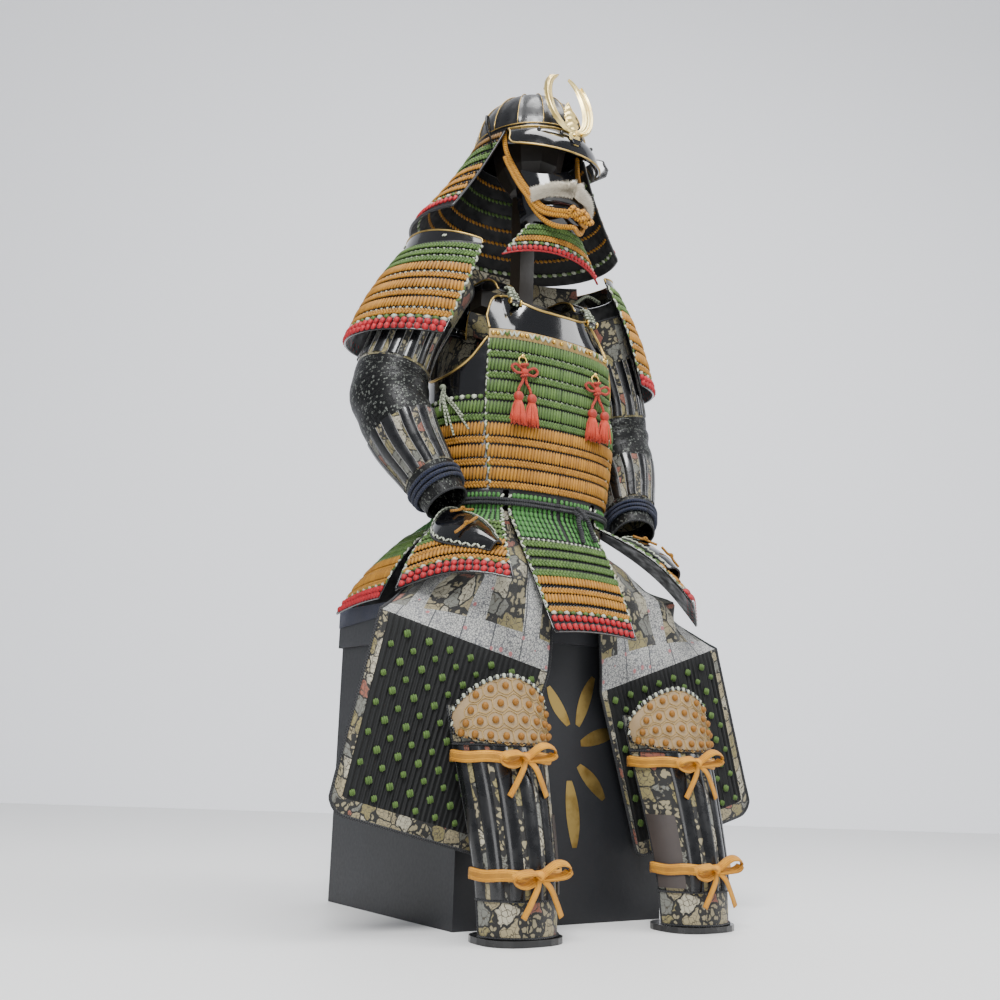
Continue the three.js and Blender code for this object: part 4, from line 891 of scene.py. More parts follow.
def makeCuirass():
    seam = cuirass["seam"]
    low, high = cuirass["bottom"], cuirass["top"]
    front = surfacePiece("cuirass_front_plate", torsoPoint, steps(-seam + 0.2, seam - 0.2, 40),
        steps(low, high, 21), fromTorso, cuirass["wall"])
    dress(front, finishes["laced"], ["cuirass_front"])
    cuirassLacing("cuirass_front_lacing", -seam + 0.8, seam - 0.8, 7, (-seam + 1.2, seam - 1.2))
    for name, s in sides:
        start, end = (seam, 180 - seam) if s > 0 else (seam - 180, -seam)
        across = steps(start + 0.2, end - 0.2, 36)

        def sidePoint(u, v):
            edge = readTable(armhole, 1, abs(u))
            return torsoPoint(u, lerp(low, edge, v))
        plate = surfacePiece("cuirass_side_plate_" + name, sidePoint, across, steps(0, 1, 16), fromTorso,
            cuirass["wall"])
        dress(plate, finishes["gloss"], ["cuirass_side_" + name])
        cuirassLacing("cuirass_side_lacing_" + name, start + 0.8, end - 0.8, 4)
        rimWay = [sidePoint(u, 1) + fromTorso(sidePoint(u, 1)).normalized() * 1.2 for u in across]
        rim = tubePiece("armhole_rim_" + name, [rimWay], 4.6, 4.6, 8, finishes["goldPaint"])
        dress(rim)
        grains = []
        laceRow(grains, torsoPoint, fromTorso, start + 1, end - 1, sideLaced + 7, 9, 12, white, lift=2.4,
            duv=(0.4, 1.5), kind="dots",
                other=green)
        dots = grainPiece("side_plate_stitches_" + name, grains, laceFinishes)
        dress(dots)

    def backPoint(u, v):
        edge = readTable(backEdge, 1, abs(u - 180))
        return torsoPoint(u, lerp(low, edge, v))
    back = surfacePiece("cuirass_back_plate", backPoint, steps(180 - seam + 0.2, 180 + seam - 0.2, 40),
        steps(0, 1, 30), fromTorso, cuirass["wall"])
    dress(back, finishes["laced"], ["cuirass_back"])
    cuirassLacing("cuirass_back_lacing", 180 - seam + 0.8, 180 + seam - 0.8, 7,
        (180 - seam + 1.2, 180 + seam - 1.2))
    rimWay = [backPoint(u, 1) for u in steps(180 - seam + 0.4, 180 + seam - 0.4, 60)]
    rim = tubePiece("cuirass_back_rim", [rimWay], 4.4, 4.4, 8, finishes["goldPaint"])
    dress(rim)

    # brocade lining shows above the chest plate on the inside of the back
    def liningPoint(u, v):
        p = backPoint(u, lerp(0.5, 0.995, v))
        return p - fromTorso(p).normalized() * (cuirass["wall"] + 0.8)
    lining = surfacePiece("cuirass_lining", liningPoint, steps(180 - seam + 3, 180 + seam - 3, 30),
        steps(0, 1, 16), fromTorso, 0.8)
    dress(lining, finishes["brocade"])

    # padded collar of brocade that stands behind the shoulder straps
    def collarPoint(u, v):
        y = lerp(46, 64, v) - 26 * abs(u) ** 3
        return Vector((206 * u, y, lerp(1104, 1272 - 14 * (1 - u * u), v)))
    collar = surfacePiece("collar_lining", collarPoint, steps(-1, 1, 40), steps(0, 1, 12),
        lambda p: Vector((0, -1, 0.2)), 3)
    dress(collar, finishes["brocade"])


chest = {"bottom": 1047, "bandBottom": 1028, "bandTop": 1046, "seam": 46.5, "rim": 4.4}
chestEdge = [(0, 1092), (12, 1095), (22, 1108), (31, 1127), (39, 1116), (46.5, 1076)]


def chestPoint(angle, z):
    p = torsoPoint(angle, z)
    rise = max(0, z - chest["bottom"]) / 80
    off = abs(angle) / 31
    p.y += rise * lerp(-9, 34, min(1, off * off))
    return p


def makeChest():
    across = steps(-chest["seam"], chest["seam"], 60)

    def plate(u, v):
        return chestPoint(u, lerp(chest["bottom"], readTable(chestEdge, 1, abs(u)), v))
    piece = surfacePiece("chest_plate_lacquer", plate, across, steps(0, 1, 14), fromTorso, 2.5)
    dress(piece, finishes["gloss"], ["chest_plate"])
    way = [plate(-chest["seam"], v) for v in steps(0.04, 0.96, 8)] + [plate(u, 1) for u in across] \
        + [plate(chest["seam"], v) for v in steps(0.96, 0.04, 8)]
    way = [p + fromTorso(p).normalized() * 0.6 for p in way]
    rim = tubePiece("chest_rim", [evenly(way, 4)], chest["rim"], chest["rim"], 8, finishes["goldPaint"])
    dress(rim)

    def band(u, v):
        p = torsoPoint(u, lerp(chest["bandBottom"], chest["bandTop"], v))
        return p + fromTorso(p).normalized() * (1.6 * math.sin(math.pi * clamp(v, 0, 1)) ** 0.5)
    strip = surfacePiece("stud_band_hide", band, across, steps(0, 1, 6), fromTorso, 2.6)
    dress(strip, finishes["stamped"], ["stud_band"])
    studs, grains = [], []
    for i, angle in enumerate(steps(-43, 43, 26)):
        p = band(angle, 0.5)
        n = fromTorso(p).normalized()
        if i % 6 in (0, 1):
            studs.append(knob("stud", p + n * 1.6, (4.2, 4.2, 4.2), finishes["gilt"], 10, 6))
        else:
            up = Vector((0, 0, 1))
            side = n.cross(up).normalized()
            for k in (-1, 1):
                long = (up * 0.9 + side * 0.5 * k).normalized()
                grains.append((p + n * 2.6 + side * 2.4 * k, n.cross(long) * 2.1, long * 6.4, n * 1.8,
                    white if i % 3 else green,
                               0.4 + 0.5 * random.random()))
    dress(joinedPieces("stud_band_studs", studs))
    dress(grainPiece("stud_band_stitches", grains, laceFinishes))


# Skirt panels
waist = {"z": 741.7, "flare": 700, "halfWidth": 170, "front": -179, "back": 63}
tassets = [
    ("tasset_front", -31.5, 26, (-93, -300, 478), (86, -300, 478), 6, 8),
    ("tasset_front_right", -78, -36, (-338, -190, 533), (-197, -322, 555), 20, 22),
    ("tasset_front_left", 31, 76, (197, -322, 555), (338, -190, 533), 20, 22),
    ("tasset_side_right", -128, -82, (-250, 190, 532), (-262, 0, 545), 4, 20),
    ("tasset_side_left", 80, 128, (262, 0, 545), (250, 190, 532), 4, 20),
    ("tasset_back_right", -132.6, -177.4, (-196, 246, 540), (-12, 250, 545), 4, 24),
    ("tasset_back_left", 132.6, 177.4, (196, 246, 540), (12, 250, 545), 4, 24),
]


def waistPoint(angle, z):
    x, y = oval(angle, waist["halfWidth"], waist["front"], waist["back"])
    return Vector((x, y, z))


def tassetPoint(row, u, v):
    start, end, a, b, bulge, out = row[1:]
    angle = lerp(start, end, u)
    top = waistPoint(angle, waist["z"])
    hip = waistPoint(angle, waist["flare"])
    low = Vector(a).lerp(Vector(b), u)
    low.z += bulge * math.sin(math.pi * u)
    outward = fromTorso(hip).normalized()
    knee = 0.17
    if v <= knee:
        return top.lerp(hip, v / knee)
    t = (v - knee) / (1 - knee)
    swell = math.sin(math.pi * t)
    return hip.lerp(low, t) + outward * (out * swell * 0.8) + Vector((0, 0, out * 0.4 * swell))


def overBox(p):
    return Vector((p[0], p[1] + 55, 40))


# A skirt panel below its long laces: four green braids, ochre rows, a white line, and two rows of red blocks
skirtRows = [(0.03, 0.375, 6, 5, white, 2.4, 1.6, {"slant": 0.4, "other": dark})]
skirtRows += [(0.02, 0.41 + 0.07 * i, 15.5, 7.0, green, 3.4, 2.6, {"kind": "braid"}) for i in range(4)]
for v in (0.672, 0.792):
    skirtRows += [(0.02, v, 18, 6.6, ochre, 3.8, 2.8, {}),
        (0.02, v + 0.043, 5, 6.6, dark, 1.2, 1.0, {"slant": 0.4}),
                  (0.02, v + 0.068, 11, 6.4, ochre, 3.2, 2.4, {"kind": "braid"})]
skirtRows += [(0.03, 0.883, 7.5, 13.5, white, 3.2, 3.0, {"kind": "dots", "other": green})]
skirtRows += [(0.015, v, 12.6, 12.6, red, 4.2, 5.0, {"kind": "dots"}) for v in (0.919, 0.971)]


def makeTassets():
    for row in tassets:
        name = row[0]

        def point(u, v):
            return tassetPoint(row, u, v)
        plate = surfacePiece(name + "_plate", point, steps(0, 1, 20), steps(0, 1, 40), overBox, 2.5)
        dress(plate, finishes["laced"], [name])
        grains = []
        duv = (0.02, 0.01)
        wide = (point(1, 0.35) - point(0, 0.35)).length
        # upper field: long flat laces with dark gaps between
        count = max(6, round(wide / 10.5))
        for i in range(count):
            u = lerp(0.04, 0.96, (i + 0.5) / count)
            laces = [point(u, v) for v in steps(0.02, 0.355, 8)]
            for a, b, v in zip(laces, laces[1:], steps(0.04, 0.33, 7)):
                n = normalAt(point, overBox, u, v, *duv)
                long = (b - a) * 0.56
                side = n.cross(long).normalized()
                reach = (point(1, v) - point(0, v)).length / count * 0.43
                grains.append(((a + b) / 2 + n * 0.9, side * reach, long, n * 1.5, leafGreen,
                    0.3 + 0.15 * (i % 3)))
        laceRows(grains, point, overBox, duv, 0, 1, skirtRows)
        for u in (0.012, 0.988):
            edgeLacing(grains, point, overBox, u, 0.03, 0.88, 8.5, duv)
        lacing = grainPiece(name + "_lacing", grains, laceFinishes)
        dress(lacing)
        edge = [point(0.001, v) for v in steps(0.02, 1, 20)] + [point(u, 1) for u in steps(0.05, 0.95,
            14)] \
            + [point(0.999, v) for v in steps(1, 0.02, 20)]
        piping = tubePiece(name + "_edge", [evenly(edge, 6)], 3.6, 3.6, 6, finishes["gloss"])
        dress(piping)


# Waistband and thigh guards
thighBand = {"bottom": 680, "top": 704}
thighs = {
    "right": {"s": -1, "bandIn": (-58, -239, 416), "bandOut": (-392, -239, 494),
        "lowIn": (-166, -239, 112), "lowOut": (-461, -239, 185)},
    "left": {"s": 1, "bandIn": (56, -239, 388), "bandOut": (340, -239, 487), "lowIn": (138, -239, 105),
        "lowOut": (423, -239, 185)},
}
lid = {"width": 450, "depth": 441, "bottom": 470, "top": 543}


def bandPoint(angle, z):
    p = waistPoint(angle, z)
    return p - fromTorso(p).normalized() * 4.5


def thighPoint(row, u, v):
    s = row["s"]

    def bezier(a, b, c, t):
        return a.lerp(b, t).lerp(b.lerp(c, t), t)
    low = thighBand["bottom"] - 0.3
    if v <= 1:
        start = bandPoint(s * lerp(12, 74, u), low)
        inner = bezier(bandPoint(s * 12, low), Vector((s * 48, -256, 600)), Vector(row["bandIn"]), v)
        outer = bezier(bandPoint(s * 74, low), Vector((s * 300, -150, 530)), Vector(row["bandOut"]), v)
        flat = inner.lerp(outer, u)
        p = start.lerp(flat, smoothstep(v, 0, 0.35))
        p.z = flat.z
        swell = math.sin(math.pi * u) * math.sin(math.pi * v)
        p += Vector((0, -16 * swell, 22 * swell))
        over = (1 - smoothstep(abs(p.x), 236, 270)) * (1 - smoothstep(p.z, 560, 590))
        p.y = lerp(p.y, min(p.y, -lid["depth"] / 2 - 11), over)
        return p
    top = Vector(row["bandIn"]).lerp(Vector(row["bandOut"]), u)
    bottom = Vector(row["lowIn"]).lerp(Vector(row["lowOut"]), u)
    edge = 0.09
    near = clamp((edge - min(u, 1 - u)) / edge, 0, 1)
    bottom.z += 26 * (1 - math.sqrt(1 - near * near))
    return top.lerp(bottom, v - 1)


thighLook = {"border": 0.055, "bandFrom": 0.42, "low": 0.952, "knotColumns": 8, "knotRows": 12, "wall": 1.6}


def makeThighs():
    def bandRound(u, v):
        return bandPoint(u, lerp(thighBand["bottom"], thighBand["top"], v))
    waistband = surfacePiece("waistband_cloth", bandRound, steps(0, 360, 72), steps(0, 1, 5), fromTorso,
        1.6, closed=True)
    dress(waistband, finishes["brocadeFine"], ["waistband"])
    ribbons = {"right": ((0.09, 0.2), (0.44, 0.55), (0.8, 0.9)),
        "left": ((0.14, 0.25), (0.5, 0.61), (0.84, 0.94))}
    for name, row in thighs.items():
        def point(u, v):
            p = thighPoint(row, u, v)
            fold = 3.2 * math.sin(u * 23 + 2 * math.sin(5 * v)) * smoothstep(v, 0.1,
                0.5) * (1 - smoothstep(v, 0.7, 0.98))
            rib = 1.3 * math.sin(2 * math.pi * u * 34) * smoothstep(v, 1.03,
                1.06) * (1 - smoothstep(v, 1.9, 1.93)) if v > 1 else 0
            return p + Vector((0, -1, 0.3)) * (fold + rib + 1)

        def away(p):
            return Vector((row["s"] * 0.2, -1, 0.8))
        across = steps(0, 1, 136)
        down = steps(0, 0.84, 26) + [0.86, 0.9, 0.94, 0.98, 1.0, 1.02] + steps(1.06, 1.9, 24) + [1.92,
            1.95, 1.98, 2]
        piece = surfacePiece("thigh_guard_cloth_" + name, point, across, down, away, thighLook["wall"],
            angle=60)
        dress(piece, apronFinish("silk_apron_with_ribbons_" + name, ribbons[name]),
            ["thigh_guard_" + name])
        rows = len(down) - 1
        marks = [i for i, v in enumerate(down) if v in (0.86, 1.0)]
        bandLow, bandHigh = marks[0] / rows, marks[1] / rows
        fieldLow = next(i for i, v in enumerate(down) if v > 1.9) / rows
        piece.data.materials.append(finishes["silver"])
        piece.data.materials.append(finishes["ribs"])
        piece.data.materials.append(finishes["brocadeFine"])
        border = thighLook["border"]
        paintFaces(piece, 1, lambda u, v: bandLow < v < bandHigh)
        paintFaces(piece, 2, lambda u, v: v > bandHigh and border < u < 1 - border and v < fieldLow)
        paintFaces(piece, 3, lambda u, v: v > bandHigh and not (border < u < 1 - border and v < fieldLow))
        edge = [point(0.002, v) for v in steps(0.3, 1.0, 12)] + [point(0.002, v) for v in steps(1.02, 2,
            18)] \
            + [point(u, 2) for u in steps(0.02, 0.98, 40)] + [point(0.998, v) for v in steps(2, 1.02, 18)] \
            + [point(0.998, v) for v in steps(1.0, 0.3, 12)]
        piping = tubePiece("thigh_piping_" + name, [evenly(edge, 5)], 5.4, 5.4, 6, finishes["blackCord"])
        dress(piping)
        # green knots through the ribbed field, in rows that step sideways by half
        grains = []
        for j in range(thighLook["knotRows"]):
            v = lerp(1.075, 1.885, j / (thighLook["knotRows"] - 1))
            for i in range(thighLook["knotColumns"]):
                u = (i + (0.3 if j % 2 else 0.75)) / (thighLook["knotColumns"] + 0.1)
                if not 0.075 < u < 0.925:
                    continue
                p = point(u, v)
                n = Vector((0, -1, 0))
                size = 6.6 if j % 2 == 0 else 5.4
                down2 = Vector((0.25 * -row["s"], 0, -1)).normalized()
                side = n.cross(down2).normalized()
                for k in (-1, 0, 1):
                    grains.append((p + n * 1.6 + side * k * size * 0.55, side * size * 0.42,
                        down2 * size * (1.05 if k == 0 else 0.9),
                                   n * 3.6, green, 0.35 + 0.4 * random.random()))
        knots = grainPiece("thigh_knots_" + name, grains, laceFinishes)
        dress(knots)


# Shin guards: upright splints over brocade, a studded knee patch and two flat tape ties
shinX = 182.5
shin = [(10.3, -389, 68, 56), (100, -384, 72, 62), (200, -362, 78, 66), (276, -340, 84, 66),
    (350, -314, 90, 58), (402, -298, 92, 50)]
shinLook = {"open": 88, "splint": 9.5, "columns": 18, "reach": 78}


def shinPoint(s, angle, z):
    front, half, depth = [readTable(shin, k, z) for k in (1, 2, 3)]
    return Vector((s * shinX + half * sinD(angle), front + depth * (1 - cosD(angle)), z))


def tieBow(s, z, y):
    def at(x, dy, dz):
        return Vector((s * shinX + x, y + dy, z + dz))
    loops, tails = [], []
    for k in (-1, 1):
        lift = k * 6
        loops.append([at(k * 3, -4, 2), at(k * 22, -16, 13 + lift), at(k * 46, -14, 10 + lift),
            at(k * 50, -9, lift),
                      at(k * 34, -12, -6 + lift), at(k * 3, -4, -3)])
        tails.append([at(k * 2, -5, -2), at(k * 12, -14, -16), at(k * 24, -14, -38), at(k * 35, -12, -58)])
    return at(0, -4, 0), loops, tails


# Studs in rows up the patch, each row with its own reach in degrees
kneePatch = {"top": 402, "bottom": 291, "rows": (0.12, 0.36, 0.6, 0.84), "reach": (66, 62, 52, 42),
    "spacing": 16.5,
             "stud": (6.0, 5.2, 6.0)}
shinHide = {"from": 42, "to": 84, "bottom": 70, "top": 186}  # on the inner side, where the stirrup rubs
shinTies = (("upper", 272), ("lower", 100))


def makeShins():
    for name, s in sides:
        def away(p):
            return Vector((p[0] - s * shinX, p[1] + 250, 0))

        def point(u, z):
            return shinPoint(s, u, z)
        span = shinLook["open"]
        base = surfacePiece("shin_cloth_" + name, point, steps(-span, span, 48), steps(10.3, 350, 30),
            away, 2.4)
        dress(base, finishes["brocade"], ["shin_guard_" + name])
        splints = []
        for i, middle in enumerate(steps(-shinLook["reach"], shinLook["reach"], 6)):
            half = shinLook["splint"]

            def splint(u, v):
                angle = middle + half * u
                p = point(angle, lerp(66, 288, v))
                n = facing(angle)
                return p + n * (1.4 + 2.2 * (1 - abs(u) ** 3))
            hide = (s > 0 and i <= 1) or (s < 0 and i >= 5)
            if hide:
                continue
            splints.append(surfacePiece("splint", splint, steps(-1, 1, 8), steps(0, 1, 14), away, 1.2))
        joined = joinedPieces("shin_splints_" + name, splints)
        dress(joined, finishes["splint"])
        inner = sorted((-s * shinHide["from"], -s * shinHide["to"]))

        def hidePoint(u, v):
            angle = lerp(inner[0], inner[1], u)
            p = point(angle, lerp(shinHide["bottom"], shinHide["top"], v))
            return p + facing(angle) * 3.4
        leather = surfacePiece("shin_hide_" + name, hidePoint, steps(0, 1, 12), steps(0, 1, 8), away, 1.6)
        dress(leather, finishes["brownHide"])
        ways = [[point(u, z) + facing(u) * 1.4 for u in steps(-span, span, 50)] for z in (12, 64, 290)]
        ways += [[point(u, z) for z in steps(12, 350, 20)] for u in (-span + 0.4, span - 0.4)]
        piping = tubePiece("shin_piping_" + name, ways, 3.8, 3.8, 6, finishes["blackCord"])
        dress(piping)

        # knee patch of pale hide with ochre studs in cord hexagons
        patchEnd = span * (1 - 2 / shinLook["columns"])

        def patch(u, v):
            top = kneePatch["top"] - 66 * abs(u / patchEnd) ** 1.7
            low = kneePatch["bottom"] + 14 * (u / patchEnd) ** 2
            p = point(u, lerp(low, top, v))
            n = facing(u)
            return p + n * (3.5 + 2.0 * math.sin(math.pi * clamp(v, 0, 1)) ** 0.6)
        hide = surfacePiece("knee_patch_hide_" + name, patch, steps(-patchEnd, patchEnd, 40),
            steps(0, 1, 16), away, 2.6)
        dress(hide, finishes["tan"], ["knee_patch_" + name])
        studs, hexes = [], []
        for j, v in enumerate(kneePatch["rows"]):
            for i in range(-4, 5):
                u = (i + (0.5 if j % 2 else 0)) * kneePatch["spacing"]
                if abs(u) > kneePatch["reach"][j]:
                    continue
                p = patch(u, v)
                n = normalAt(patch, away, u, v, 0.5, 0.02)
                studs.append((p, n))
                ring = []
                for k in range(6):
                    a = 60 * k + 30
                    ring.append(patch(u + 8.6 * cosD(a) * 1.1, v + 0.135 * sinD(a)) + n * 0.9)
                hexes.append(evenly(ring + [ring[0]], 6))
        knobs = [knob("stud", p + n * 1.8, kneePatch["stud"], finishes["ochre"], 10, 6) for p, n in studs]
        dress(joinedPieces("knee_studs_" + name, knobs))
        lines = tubePiece("knee_hexagons_" + name, hexes, 1.8, 1.4, 4, finishes["stamped"])
        dress(lines)
        grains = []
        laceRow(grains, patch, away, -patchEnd, patchEnd, 0.985, 8.5, 6.5, dark, lift=2.0, duv=(0.5, 0.02),
            slant=0.3, other=white, depth=2.4)
        laceRow(grains, patch, away, -patchEnd, patchEnd, 0.02, 3.5, 6.5, dark, lift=1.2, duv=(0.5, 0.02),
            slant=0.3, depth=1.4, other=brown)
        for u in (-patchEnd + 1, patchEnd - 1):
            edgeLacing(grains, patch, away, u, 0.02, 0.95, 7, (0.5, 0.02), (6, 2))
        dress(grainPiece("knee_edge_" + name, grains, laceFinishes))

        for end, z in shinTies:
            node = "shin_tie_{}_{}".format(end, name)
            ring = []
            for angle in steps(-span, span, 32):
                p = point(angle, z + 1.2 * math.sin(angle * 0.12))
                ring.append(p + Vector((sinD(angle), -cosD(angle) * 0.95, 0)).normalized() * 6.2)
            back = point(90, z)
            half = back.x - s * shinX
            ring += [Vector((s * shinX + half + 2, back.y + 9, z)),
                Vector((s * shinX - half - 2, back.y + 9, z))]

            def outwards(p):
                return Vector((p[0] - s * shinX, p[1] + 300, 0))
            rings = evenly(ring + [ring[0]], 6)[:-1]
            band = tubePiece(node + "_tape", [rings], 3.4, 19, 8, finishes["ochreTape"],
                up=lambda p: Vector((0, 0, 1)), closed=True)
            dress(band, None, [node])
            middle, loops, tails = tieBow(s, z, point(0, z).y - 6)
            ways = [evenly(catmull(way, 8), 3) for way in loops]
            bow = tubePiece(node + "_bow", ways, 16, 3.0, 8, finishes["ochreTape"],
                up=lambda p: Vector((0.2, -0.75, 1)))
            knot = knob("knot", middle, (9, 7, 8), finishes["ochreTape"])
            dress(joinedPieces(node + "_bow", [bow, knot]))
            for k, way in enumerate(tails):
                line = evenly(catmull(way, 10), 3)
                tail = tubePiece("{}_tail_{}".format(node, k + 1), [line], 11, 2.6, 8,
                    finishes["ochreTape"],
                                 up=lambda p: Vector((0, -1, 0.2)))
                dress(tail)
                declareCord(line)


# Sleeves: brocade tubes with iron splints and mail, bent at the elbow
arm = [(0, 178, 178, -30, 1160, 62, 84), (0.2, 224, 216, -24, 1080, 66, 80),
    (0.4, 258, 250, -20, 1000, 63, 80),
       (0.56, 276, 262, -22, 925, 68, 80), (0.72, 262, 256, -58, 840, 62, 72), (0.86, 238, 236, -100, 768,
           50, 56),
       (1, 216, 217, -142, 704, 39, 40)]


# The part's own smooth curve through its rows (centripetal, as in three.js)
def throughRows(rows, t):
    points = [Vector(p) for p in rows]
    n = len(points)
    at = clamp(t, 0, 1) * (n - 1)
    i = min(n - 2, int(at))
    w = at - i
    b, c = points[i], points[i + 1]
    a = points[i - 1] if i > 0 else b * 2 - c
    d = points[i + 2] if i + 2 < n else c * 2 - b
    gaps = [max((q - p).length_squared, 1e-8) ** 0.25 for p, q in ((a, b), (b, c), (c, d))]
    if gaps[1] < 1e-4:
        gaps[1] = 1.0
    if gaps[0] < 1e-4:
        gaps[0] = gaps[1]
    if gaps[2] < 1e-4:
        gaps[2] = gaps[1]
    t1 = ((b - a) / gaps[0] - (c - a) / (gaps[0] + gaps[1]) + (c - b) / gaps[1]) * gaps[1]
    t2 = ((c - b) / gaps[1] - (d - b) / (gaps[1] + gaps[2]) + (d - c) / gaps[2]) * gaps[1]
    w2, w3 = w * w, w * w * w
    return b * (2 * w3 - 3 * w2 + 1) + t1 * (w3 - 2 * w2 + w) + c * (3 * w2 - 2 * w3) + t2 * (w3 - w2)


def armMiddle(s, v):
    return throughRows([(s * (row[2] if s > 0 else row[1]), row[3], row[4]) for row in arm], v)


def sleevePoint(s, angle, at):
    v = clamp(at, 0, 1)
    middle = armMiddle(s, v)
    along = (armMiddle(s, min(1, v + 1e-3)) - armMiddle(s, max(0, v - 1e-3))).normalized()
    front = (Vector((0, -1, 0)) + along * along.y).normalized()
    outward = (front.cross(along) * s).normalized()
    wide = throughRows([(row[5], 0, 0) for row in arm], v).x
    deep = throughRows([(row[6], 0, 0) for row in arm], v).x
    return middle + outward * (wide * sinD(angle)) + front * (deep * cosD(angle))


def makeSleeves():
    for name, s in sides:
        middles = [armMiddle(s, t) for t in steps(0, 1, 40)]

        def away(p):
            spot = Vector(p)
            return spot - min(middles, key=lambda m: (m - spot).length)

        def point(u, v):
            p = sleevePoint(s, u, v)
            crease = 2.2 * math.sin(v * 62 + 1.6 * sinD(u)) * math.exp(-((v - 0.53) / 0.09) ** 2)
            puff = 1.6 * math.sin(v * 30 + sinD(2 * u))
            m = armMiddle(s, clamp(v, 0, 1))
            return p + (p - m).normalized() * (crease + puff * 0.5 * math.sin(math.pi * clamp(v, 0, 1)))
        piece = surfacePiece("sleeve_cloth_" + name, point, steps(0, 360, 56), steps(0, 1, 70), away, 1.8,
            closed=True, angle=60)
        piece.data.materials.clear()
        for key in ("brocade", "mail", "brocadeFine"):
            piece.data.materials.append(finishes[key])
        paintFaces(piece, 1, lambda u, v: 0.41 < v < 0.655 or v > 0.87)
        paintFaces(piece, 2, lambda u, v: 0.655 <= v <= 0.87)
        dress(piece, None, ["sleeve_" + name])
        for label, start, end, angles in (("upper", 0.17, 0.405, steps(-60, 210, 11)),
            ("fore", 0.655, 0.868, steps(-70, 215, 9))):
            splints, edges = [], []
            half = 7.6 if label == "upper" else 9.5
            for middle in angles:
                def splint(u, v):
                    angle = middle + half * u
                    p = sleevePoint(s, angle, lerp(start, end, v))
                    m = armMiddle(s, lerp(start, end, v))
                    return p + (p - m).normalized() * (1.4 + 2.0 * (1 - abs(u) ** 3))
                splints.append(surfacePiece("splint", splint, steps(-1, 1, 6), steps(0, 1, 12), away, 1.0))
                for u in (-1, 1):
                    edges.append([splint(u, v) for v in steps(0, 1, 12)])
            joined = joinedPieces("sleeve_splints_{}_{}".format(label, name), splints)
            dress(joined, finishes["splint"])
            rims = tubePiece("sleeve_splint_edges_{}_{}".format(label, name), edges, 1.7, 1.7, 4,
                finishes["silver"])
            dress(rims)
        ways = []
        for v in (0.905, 0.925, 0.945):
            ring = []
            for u in steps(0, 360, 40)[:-1]:
                p = sleevePoint(s, u, v)
                m = armMiddle(s, v)
                ring.append(p + (p - m).normalized() * 4.0)
            ways.append(ring)
        tie = tubePiece("wrist_cord_" + name, ways, 7.6, 7.0, 10, finishes["navyCord"], closed=True,
            ridge=0.06)
        dress(tie, None, ["wrist_tie_" + name])
        hem = []
        for v in (0.002, 0.998):
            hem.append([sleevePoint(s, u, v) for u in steps(0, 360, 48)[:-1]])
        piping = tubePiece("sleeve_hems_" + name, hem, 4.2, 4.2, 6, finishes["blackCord"], closed=True)
        dress(piping)


# Hand guards: a domed leaf plate with laced edges lies on the front tasset at each side
hand = {"start": (0.2, 0.37), "tip": (0.88, 0.76), "across": (-0.19, 0.15), "seat": 6, "arch": 22}


def handPoint(s, a, b):
    row = tassets[1 if s < 0 else 2]
    broad = 0.62 + 0.38 * math.sin(math.pi * min(1, b * 1.1 + 0.05)) - 0.3 * max(0, b - 0.8) * 5
    u = lerp(hand["start"][0], hand["tip"][0], b) + a * hand["across"][0] * broad
    v = lerp(hand["start"][1], hand["tip"][1], b) + a * hand["across"][1] * broad

    def on(du, dv):
        return tassetPoint(row, u + du if s < 0 else 1 - u - du, v + dv)
    n = (on(0.01, 0) - on(-0.01, 0)).cross(on(0, 0.01) - on(0, -0.01)).normalized()
    if n.z < 0:
        n = -n
    return on(0, 0) + n * (hand["seat"] + hand["arch"] * (1 - a * a) * (1 - 0.5 * b))


def makeHands():
    def away(p):
        return Vector((0, -0.3, 1))
    for name, s in sides:
        def point(a, b):
            return handPoint(s, a, b)
        plate = surfacePiece("hand_plate_" + name, point, steps(-1, 1, 24), steps(0, 1, 26), away, 2.4)
        dress(plate, finishes["gloss"], ["hand_guard_" + name])
        edge = [point(-0.99, b) for b in steps(0, 1, 20)] + [point(a, 1) for a in steps(-0.8, 0.8, 8)] \
            + [point(0.99, b) for b in steps(1, 0, 20)] + [point(a, 0.005) for a in steps(0.8, -0.8, 8)]
        rim = tubePiece("hand_rim_" + name, [evenly(edge, 4)], 3.4, 3.4, 6, finishes["blackCord"],
            closed=True)
        dress(rim)
        grains = []
        for a in (-0.9, 0.9):
            edgeLacing(grains, point, away, a, 0.04, 0.95, 8.5, (0.03, 0.02), (2, 2), (2.0, 4.6, 1.4))
        laceRow(grains, point, away, -0.85, 0.85, 0.04, 6, 8, white, lift=2.0, duv=(0.03, 0.02), slant=0.6,
            depth=1.4)
        dress(grainPiece("hand_lacing_" + name, grains, laceFinishes))
        ways = []
        for b, a in ((0.62, 0.15), (0.3, -0.4)):
            spot = point(a, b)
            n = normalAt(point, away, a, b, 0.02, 0.02)
            long = (point(a + 0.2, b) - point(a - 0.2, b)).normalized()
            ways.append(evenly(catmull([spot - long * 26 + n * 3.4, spot - long * 8 + n * 3.8,
                spot + n * 5.5,
                                        spot + long * 12 + n * 3.8, spot + long * 28 + n * 3.2], 6), 2.5))
            ways.append(evenly(catmull([spot - long * 5 + n * 5, spot + n * 9, spot + long * 5 + n * 5],
                6), 2.5))
        cordBits = tubePiece("hand_cord_" + name, ways, 5.0, 5.0, 8, finishes["ochreCord"])
        dress(cordBits)


# Shoulder guards: laced panels round each upper arm, under a black plate with a gold rim
shoulder = {"top": (125, -8, 114, 122, 1227), "low": (204, 0, 141, 142, 1026), "from": -77, "to": 66,
    "rise": 30}


